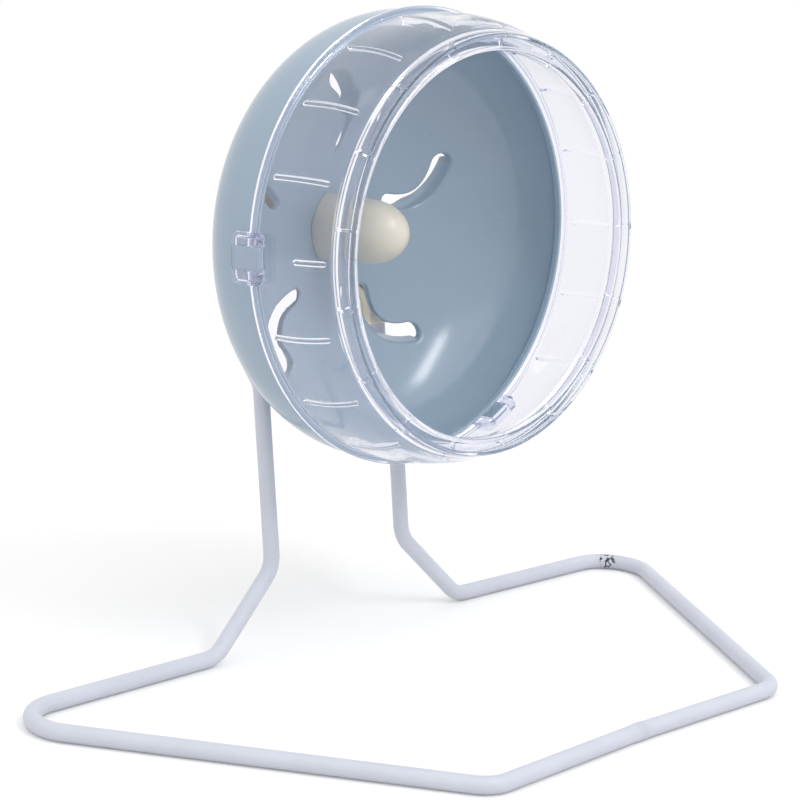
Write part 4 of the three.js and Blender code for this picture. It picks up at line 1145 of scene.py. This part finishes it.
def bracket_half(sizes, side):
    """One half of the bracket. Its section goes from the parting face at the outer edge, over
    the rounded edges of the outer face, back to the parting face and through the rod's channel.

    Each leg's end joins a point of the outer part of the section to the facing point of the
    parting face and channel, which have as many points.
    """
    outer, channel_out, channel_in, inner, leg = bracket_lines(sizes)
    count, edge, soft, flank = len(outer), 0.9 * MM, 0.7 * MM, FIT / 2 + 1.5 * MM
    inwards, outwards = side_of(outer, 1), side_of(inner, -1)
    parting, front = FIT / 2, HALF_DEPTH - end_inset(leg, count, soft)[:, 0]
    start = outer + inwards * end_inset(leg, count, soft)
    end = inner + outwards * end_inset(leg, count, 2 * MM)
    start_face, end_face = start + inwards * edge, end + outwards * edge
    middle, arm = (channel_in + channel_out) / 2, (channel_in - channel_out) / 2
    rows = [(start, parting), (start, flank)]
    for angle in np.linspace(0, QUARTER, 6):
        rows.append((start_face - inwards * edge * math.cos(angle), front - edge * (1 - math.sin(angle))))
    for share in (0.1, 0.25, 0.5, 0.75, 0.9):
        rows.append((start_face * (1 - share) + end_face * share, front))
    for angle in np.linspace(QUARTER, 0, 6):
        rows.append((end_face - outwards * edge * math.cos(angle), front - edge * (1 - math.sin(angle))))
    rows += [(end, flank), (end, parting), (channel_in, parting)]
    for angle in np.linspace(0, math.pi, 13)[1:-1]:
        depth = parting + np.linalg.norm(arm, axis=1) * math.sin(angle)
        rows.append((middle + arm * math.cos(angle), depth))
    rows.append((channel_out, parting))
    grid = np.array([
        np.stack([line[:, 0], np.broadcast_to(side * depth, count), line[:, 1]], axis=-1)
        for line, depth in rows
    ])
    shell = Shell().add(BRACKET.put(grid), wrap_rows=True)
    half = len(grid) // 2
    for column, turn in ((0, 1), (-1, -1)):
        section = grid[:, column]
        shell.add(BRACKET.put(np.stack([section[:half], section[: half - 1: -1]])[:, ::turn]))
    return shell


def front_boss():
    """Round boss of the front half that the thrust washer rests on."""
    rear, floor, radius, bore = BOSS_FRONT + BOSS_PROUD + HALF_DEPTH, BOSS_FRONT + MM, 8 * MM, 2.8 * MM
    return turned(rounded([
        (0, rear, 0), (radius, rear, 0), (radius, BOSS_FRONT, 0.5 * MM), (bore, BOSS_FRONT, 0.2 * MM),
        (bore, floor, 0), (0, floor, 0),
    ]), COLUMNS)


def head_boss():
    """Round boss of the rear half round the bolt's head, with a hexagonal recess."""
    angles = even_angles(COLUMNS)
    wall, proud = 3.2 * MM, 0.5 * MM
    start, top, floor = HEAD_SEAT - MM, HEAD_SEAT + HEAD_HEIGHT + proud, HEAD_SEAT - FIT
    radius = HEAD_FLATS / math.sqrt(3) + wall
    outside = lathe(rounded([
        (0, start, 0), (radius, start, 0), (radius, top, 0.6 * MM), (radius - 1.5 * MM, top, 0),
    ]), angles)
    chamfer = 0.15 * MM
    insets = np.array([chamfer, 0, 0])[:, None]
    stations = np.array([top, top - chamfer, floor])[:, None]
    recess = around(hexagon(angles, HEAD_FLATS + 2 * FIT) + insets, stations, angles)
    return tube(np.concatenate([outside, recess, lathe([(0, floor)], angles)]))


def drilled(mesh, sizes):
    """The mesh with a counterbore cut for each screw."""
    body = add_object("drill_body", mesh)
    tip, shoulder, mouth, shaft, head = -3.2 * MM, 2.0 * MM, 6 * MM, 1.8 * MM, 3 * MM
    profile = [(0, tip), (shaft, tip), (shaft, shoulder), (head, shoulder), (head, mouth), (0, mouth)]
    drill = lathe(profile, even_angles(48))
    holes = [tube(drill + centre, BRACKET) for centre in screw_centres(sizes)]
    cutter = add_object("drill", mesh_of(holes))
    cut = body.modifiers.new("holes", "BOOLEAN")
    cut.operation, cut.object, cut.solver = "DIFFERENCE", cutter, "EXACT"
    cut.use_self = True
    bpy.context.view_layer.update()
    evaluated = body.evaluated_get(bpy.context.evaluated_depsgraph_get())
    made = bpy.data.meshes.new_from_object(evaluated)
    for helper in (body, cutter):
        bpy.data.objects.remove(helper)
    return smoothed(made)


# Stand.


def path_of_rod(sizes):
    """Corners of the rod's loop with their bend radii, once round from the front weld."""
    rod, half = sizes.rod_diameter / 2, sizes.upright_spacing / 2
    _, y, z = BRACKET.origin
    jog, jog_height, under_legs = 7.05 * MM, 9 * MM, 6.5 * MM
    knee, heel, toe, set_back = 32.2 * MM, 65.9 * MM, 1.1 * MM, 2.4 * MM
    jog_top = z - LEG_LENGTH * math.cos(LEAN) - under_legs
    jog_foot = jog_top - jog_height
    arch_top = z + half * math.cos(LEAN)

    def lean(height):
        return y + (height - z) * math.tan(LEAN)

    rear = lean(0) - jog
    front = rear - sizes.base_depth
    right = [
        (sizes.front_width / 2, front, rod, 12 * MM), (sizes.rear_width / 2, rear - toe, rod, 17 * MM),
        (heel, rear + toe, rod, 12 * MM), (half, lean(knee) - jog, knee, 12 * MM),
        (half, lean(jog_foot) - jog, jog_foot, 8 * MM), (half, lean(jog_top), jog_top, 8 * MM),
        (half, lean(arch_top), arch_top, half - WELD),
    ]
    left = [(-x, *others) for x, *others in right[::-1]]
    return [(0, front + set_back, rod, 20 * MM)] + right + left


def turned_about(vector, axis, angles):
    """A vector turned about an axis: v cos + (k x v) sin + k (k.v)(1 - cos)."""
    cosine, sine = np.cos(angles)[:, None], np.sin(angles)[:, None]
    return vector * cosine + np.cross(axis, vector) * sine + axis * (axis @ vector) * (1 - cosine)


def bent_loop(corners, straight=4 * MM, bend=math.radians(4)):
    """Places and two cross directions along a closed path of straight runs and round bends.

    Each bend turns the place, tangent and side about the axis arriving x leaving. The small
    twist that is left over after one turn is spread evenly along the path.
    """
    points = np.array([corner[:3] for corner in corners])
    runs = unit(np.roll(points, -1, axis=0) - points)
    side = up = np.array([0.0, 0.0, 1.0])
    parts = []

    def run_to(end):
        """Adds the straight run from the last bend to the next one, without its ends."""
        place, tangent, side = parts[-1][:, -1]
        count = max(1, math.ceil(np.linalg.norm(end - place) / straight))
        share = np.linspace(0, 1, count + 1)[1:-1, None]
        still = np.ones_like(share)
        parts.append(np.stack([place * (1 - share) + end * share, tangent * still, side * still]))

    for i, (corner, (*_, radius)) in enumerate(zip(points, corners)):
        arriving, leaving = runs[i - 1], runs[i]
        axis = unit(np.cross(arriving, leaving))
        angle = math.acos(np.clip(arriving @ leaving, -1, 1))
        start = corner - arriving * radius * math.tan(angle / 2)
        centre = start + np.cross(axis, arriving) * radius
        angles = np.linspace(0, angle, max(2, math.ceil(angle / bend)) + 1)
        if parts:
            run_to(start)
        part = np.stack([turned_about(vector, axis, angles) for vector in (start - centre, arriving, side)])
        part[0] += centre
        parts.append(part)
        side = part[2, -1]
    run_to(parts[0][0, 0])
    places, tangents, sides = np.concatenate(parts, axis=1)
    step = np.linalg.norm(np.roll(places, -1, axis=0) - places, axis=1)
    along = np.concatenate([[0], np.cumsum(step)])
    twist = math.atan2(np.cross(side, up) @ runs[-1], side @ up)
    turn = (twist * along[:-1] / along[-1])[:, None]
    sides = sides * np.cos(turn) + np.cross(tangents, sides) * np.sin(turn)
    return places, sides, np.cross(tangents, sides)


def rod_shell(sizes, columns=48):
    """The rod and its weld's place: a circle carried round the loop, swollen at the front weld,
    and flat where the weld would pass through the floor."""
    places, sides, others = bent_loop(path_of_rod(sizes))
    weld = places[np.argmin(np.abs(places[:, 0]) + (places[:, 2] > 10 * MM))]
    near = np.linalg.norm(places - weld, axis=1)[:, None]
    angles = even_angles(columns)
    proud, half_width, pitch = 0.22 * MM, 1.9 * MM, 0.6 * MM
    swell = proud * np.exp(-(near / half_width) ** 4)
    lumps = 1 + 0.35 * np.sin(3 * angles + 1) * np.cos(near / pitch)
    reach = sizes.rod_diameter / 2 + swell * lumps
    circle = polar(reach, angles)[..., None]
    points = places[:, None] + sides[:, None] * circle[..., 0, :] + others[:, None] * circle[..., 1, :]
    points[..., 2] = np.maximum(points[..., 2], 0)
    return Shell().add(points, wrap_rows=True, wrap_columns=True), weld


# Operators.


class WheelOperator:
    """What the operators of this kit share."""

    bl_options = {"REGISTER", "UNDO"}


class WHEEL_OT_dish(WheelOperator, Operator):
    """Adds the blue-grey dish with its slots, flanges, hub and tongues"""

    bl_idname = "hamster_wheel.dish"
    bl_label = "Dish"

    def execute(self, context):
        mesh = mesh_of([dish_shell(context.scene.wheel_sizes), *tongue_shells()])
        finish = finish_of("dish", glossy_dish)
        add_piece("dish", mesh, finish, "wheel", "rear_dish")
        return {"FINISHED"}


class WHEEL_OT_ring(WheelOperator, Operator):
    """Adds the clear ring with its ribs, rim channel, bead and latch hoods"""

    bl_idname = "hamster_wheel.ring"
    bl_label = "Clear ring"

    def execute(self, context):
        mesh = mesh_of([ring_shell(context.scene.wheel_sizes), *hood_shells(), *end_blocks()])
        finish = finish_of("ring", clear_ring)
        add_piece("clear_ring", mesh, finish, "wheel", "front_ring")
        return {"FINISHED"}


class WHEEL_OT_cap(WheelOperator, Operator):
    """Adds the bullet-shaped cap over the hub"""

    bl_idname = "hamster_wheel.cap"
    bl_label = "Hub cap"

    def execute(self, context):
        mesh = mesh_of([turned(cap_profile(context.scene.wheel_sizes), COLUMNS)])
        add_piece("cap", mesh, finish_of("cream", satin_cream), "wheel", "hub_cap")
        return {"FINISHED"}


class WHEEL_OT_bearings(WheelOperator, Operator):
    """Adds both ball bearings: rings, shields and balls"""

    bl_idname = "hamster_wheel.bearings"
    bl_label = "Bearings"

    def execute(self, context):
        steel = finish_of("bearing", metal, 1800, 0.14)
        half = BEARING_WIDTH / 2
        for end, middle in (("rear", HUB_REAR - half), ("front", HUB_FRONT + half)):
            self.add_rings(end, middle, steel)
            self.add_balls(end, middle, steel)
            cage = frame["nodes"][end + "_bearing_cage"].data.materials
            cage.clear()
            cage.append(finish_of("cage", nylon))
        return {"FINISHED"}

    @staticmethod
    def add_rings(end, middle, steel):
        """Adds the rings and shields of one bearing."""
        inner, outer, shield = bearing_profiles()
        rest = BEARING_WIDTH / 2 - 0.1 * MM
        parts = {
            "inner_ring": (inner, middle, "stand"),
            "outer_ring": (outer, middle, "wheel"),
            "front_shield": (shield, middle - rest, "wheel"),
            "rear_shield": (shield, middle + rest - SHIELD, "wheel"),
        }
        for part, (profile, station, body) in parts.items():
            mesh = mesh_of([turned(profile + [0, station], FEW_COLUMNS, closed=True)])
            add_piece(f"{end}_{part}", mesh, steel, body, f"{end}_bearing_{part}")

    @staticmethod
    def add_balls(end, middle, steel):
        """Adds the balls of one bearing."""
        for number, angle in enumerate(even_angles(BALL_COUNT), start=1):
            mesh = mesh_of([ball_shell(around(BALL_PITCH, middle, angle))])
            node = f"{end}_bearing_ball_{number}"
            add_piece(f"{end}_ball_{number}", mesh, steel, f"{end}_cage", node)


class WHEEL_OT_axle(WheelOperator, Operator):
    """Adds the bolt, washers, sleeve and lock nut"""

    bl_idname = "hamster_wheel.axle"
    bl_label = "Axle"

    def execute(self, context):
        washer, sleeve = 4.6 * MM, 3.7 * MM
        front = HUB_FRONT + BEARING_WIDTH + FIT
        between = HUB_REAR - BEARING_WIDTH - FIT - front
        shells = {
            "bolt": ("axle_bolt", bolt_shell()),
            "nut": ("lock_nut", nut_shell()),
            "rear_washer": ("thrust_washer", washer_shell(washer, HUB_REAR + FIT, WASHER)),
            "nut_washer": ("front_washer", washer_shell(washer, HUB_FRONT - FIT - WASHER, WASHER)),
            "sleeve": ("bearing_spacer", washer_shell(sleeve, front, between)),
        }
        zinc = finish_of("zinc", metal, 1200, 0.26)
        for name, (node, shell) in shells.items():
            add_piece(name, mesh_of([shell]), zinc, "stand", node)
        return {"FINISHED"}


class WHEEL_OT_bracket(WheelOperator, Operator):
    """Adds both halves of the bracket with their bosses, and the clamp screws"""

    bl_idname = "hamster_wheel.bracket"
    bl_label = "Bracket"

    def execute(self, context):
        sizes = context.scene.wheel_sizes
        cream = finish_of("cream", satin_cream)
        front = mesh_of([bracket_half(sizes, -1), front_boss()])
        add_piece("front_half", front, cream, "stand", "bracket_front")
        rear = drilled(mesh_of([bracket_half(sizes, 1), head_boss()]), sizes)
        add_piece("rear_half", rear, cream, "stand", "bracket_rear")
        zinc = finish_of("zinc", metal, 1200, 0.26)
        for number, centre in enumerate(screw_centres(sizes), start=1):
            name, node = f"clamp_screw_{number}", f"bracket_screw_{number}"
            add_piece(name, mesh_of([screw_shell(centre)]), zinc, "stand", node)
        return {"FINISHED"}


class WHEEL_OT_stand(WheelOperator, Operator):
    """Adds the bent rod with its weld"""

    bl_idname = "hamster_wheel.stand"
    bl_label = "Stand"

    def execute(self, context):
        shell, weld = rod_shell(context.scene.wheel_sizes)
        burn = np.array(BURN) + [0, WHEEL.origin[1], 0]
        finish = finish_of("rod", powder_coat, burn, weld)
        add_piece("rod", mesh_of([shell]), finish, "stand", "stand_frame")
        return {"FINISHED"}


class WHEEL_OT_studio(WheelOperator, Operator):
    """Adds the floor, the lights, the white surroundings and the camera"""

    bl_idname = "hamster_wheel.studio"
    bl_label = "Studio"

    def execute(self, context):
        settings = context.scene.wheel_studio
        context.scene.view_settings.view_transform = "Standard"
        self.add_world(context, settings)
        self.add_floor()
        self.add_lamp("key", *KEY_LAMP, settings.key)
        self.add_lamp("fill", *FILL_LAMP, settings.fill)
        self.add_camera(context, settings)
        return {"FINISHED"}

    @staticmethod
    def seen(graph):
        """1 for camera, glossy and transmission rays, and 0 for the light itself."""
        kinds = ("Is Camera Ray", "Is Glossy Ray", "Is Transmission Ray")
        camera, glossy, through = (graph.ray(kind) for kind in kinds)
        direct = graph.maths("LESS_THAN", graph.ray("Diffuse Depth"), 0.5)
        return graph.maths("MAXIMUM", graph.maths("MAXIMUM", camera, glossy), through) * direct

    def add_world(self, context, settings):
        """White where it is seen, and an even light of the ambient strength otherwise."""
        world = bpy.data.worlds.new("white_studio")
        context.scene.world = world
        graph = Graph(world)
        light, white = (
            graph.node("Background", "Background", {"Color": (1, 1, 1), "Strength": strength})
            for strength in (settings.ambient, 1.0)
        )
        graph.finish(graph.mix(self.seen(graph), light, white), "OutputWorld")

    def add_floor(self, rings=13, columns=96):
        """A wide disc on the ground that is white where it is seen and keeps its shadows."""
        flat = polar(np.linspace(0, FLOOR_RADIUS, rings)[:, None], even_angles(columns))
        points = np.concatenate([flat, np.full((rings, columns, 1), FLOOR_LEVEL)], axis=-1)
        disc = Shell().add(points, wrap_columns=True)
        mesh = bpy.data.meshes.new("floor")
        mesh.from_pydata(disc.points[0], [], disc.quads[0].tolist())
        finish = bpy.data.materials.new("pale_floor")
        self.floor_finish(Graph(finish))
        mesh.materials.append(finish)
        add_object("floor", mesh)

    def floor_finish(self, graph):
        """A pale matt floor that keeps the shadow near the wheel and runs out into white."""
        place, seen = graph.place(), self.seen(graph)
        tone = graph.blend(graph.noise(place, 3.0, 2.0), (0.8, 0.8, 0.8), (0.82, 0.82, 0.82))
        lift = graph.blend(seen, (0, 0, 0), (0.16, 0.16, 0.16))
        near = graph.surface(tone, 0.9, Specular_IOR_Level=0.0, Emission_Color=lift, Emission_Strength=1.0)
        white = graph.node("Emission", "Emission", {"Color": (1, 1, 1), "Strength": 1.0})
        far = graph.spread(graph.distance(place, (0, 0, 0)), 0.24, 0.5) * seen
        graph.finish(graph.mix(far, near, white))

    @staticmethod
    def add_lamp(name, place, size, turn, power):
        """An oblong soft lamp that looks at the wheel, turned about its own axis."""
        lamp = bpy.data.lights.new(name, "AREA")
        lamp.shape, lamp.energy = "RECTANGLE", power
        lamp.size, lamp.size_y = size
        made = bpy.data.objects.new(name, lamp)
        bpy.context.scene.collection.objects.link(made)
        made.location = place
        aim = (Vector(LAMP_AIM) - Vector(place)).to_track_quat("-Z", "Y")
        made.rotation_euler = (aim @ Quaternion((0, 0, 1), math.radians(turn))).to_euler()

    @staticmethod
    def add_camera(context, settings):
        """The camera at the photograph's place, turned by azimuth, elevation and roll."""
        turns = (settings.azimuth, settings.elevation, settings.roll)
        azimuth, elevation, roll = (math.radians(turn) for turn in turns)
        level = math.cos(elevation)
        back = np.array([math.sin(azimuth) * level, -math.cos(azimuth) * level, math.sin(elevation)])
        right = np.array([math.cos(azimuth), math.sin(azimuth), 0.0])
        up = np.cross(back, right)
        rolled = math.cos(roll) * right + math.sin(roll) * up
        risen = math.cos(roll) * up - math.sin(roll) * right
        data = bpy.data.cameras.new("camera")
        data.sensor_width, data.lens = 36, settings.lens
        data.clip_start, data.clip_end = 0.01, 60
        camera = bpy.data.objects.new("camera", data)
        context.scene.collection.objects.link(camera)
        turn = Matrix((rolled, risen, back)).transposed().to_4x4()
        x, y, z = CAMERA_PLACE
        camera.matrix_world = Matrix.Translation((x, y + WHEEL.origin[1], z)) @ turn
        context.scene.camera = camera


class WHEEL_PT_panel(Panel):
    """Lists the sizes, colours and operators in the sidebar"""

    bl_label = "Hamster Wheel"
    bl_idname = "WHEEL_PT_panel"
    bl_space_type = "VIEW_3D"
    bl_region_type = "UI"
    bl_category = "Hamster Wheel"

    def draw(self, context):
        for name, group in GROUPS.items():
            column = self.layout.column(align=True)
            for field in group.__annotations__:
                column.prop(getattr(context.scene, name), field)
        for operator in OPERATORS:
            self.layout.operator(operator.bl_idname)


GROUPS = {"wheel_sizes": WheelSizes, "wheel_colours": WheelColours, "wheel_studio": StudioSettings}
OPERATORS = (
    WHEEL_OT_studio, WHEEL_OT_stand, WHEEL_OT_bracket, WHEEL_OT_axle, WHEEL_OT_bearings,
    WHEEL_OT_dish, WHEEL_OT_cap, WHEEL_OT_ring,
)
CLASSES = (*GROUPS.values(), *OPERATORS, WHEEL_PT_panel)


def register():
    """Registers the classes and adds the property groups to the scene."""
    for cls in CLASSES:
        bpy.utils.register_class(cls)
    for name, group in GROUPS.items():
        setattr(bpy.types.Scene, name, PointerProperty(type=group))


def unregister():
    """Takes the property groups and classes away again."""
    for name in GROUPS:
        delattr(bpy.types.Scene, name)
    for cls in reversed(CLASSES):
        bpy.utils.unregister_class(cls)


def main():
    register()
    bpy.ops.hamster_wheel.studio()
    bpy.ops.hamster_wheel.stand()
    bpy.ops.hamster_wheel.bracket()
    bpy.ops.hamster_wheel.axle()
    bpy.ops.hamster_wheel.bearings()
    bpy.ops.hamster_wheel.dish()
    bpy.ops.hamster_wheel.cap()
    bpy.ops.hamster_wheel.ring()


if __name__ == "__main__":
    main()
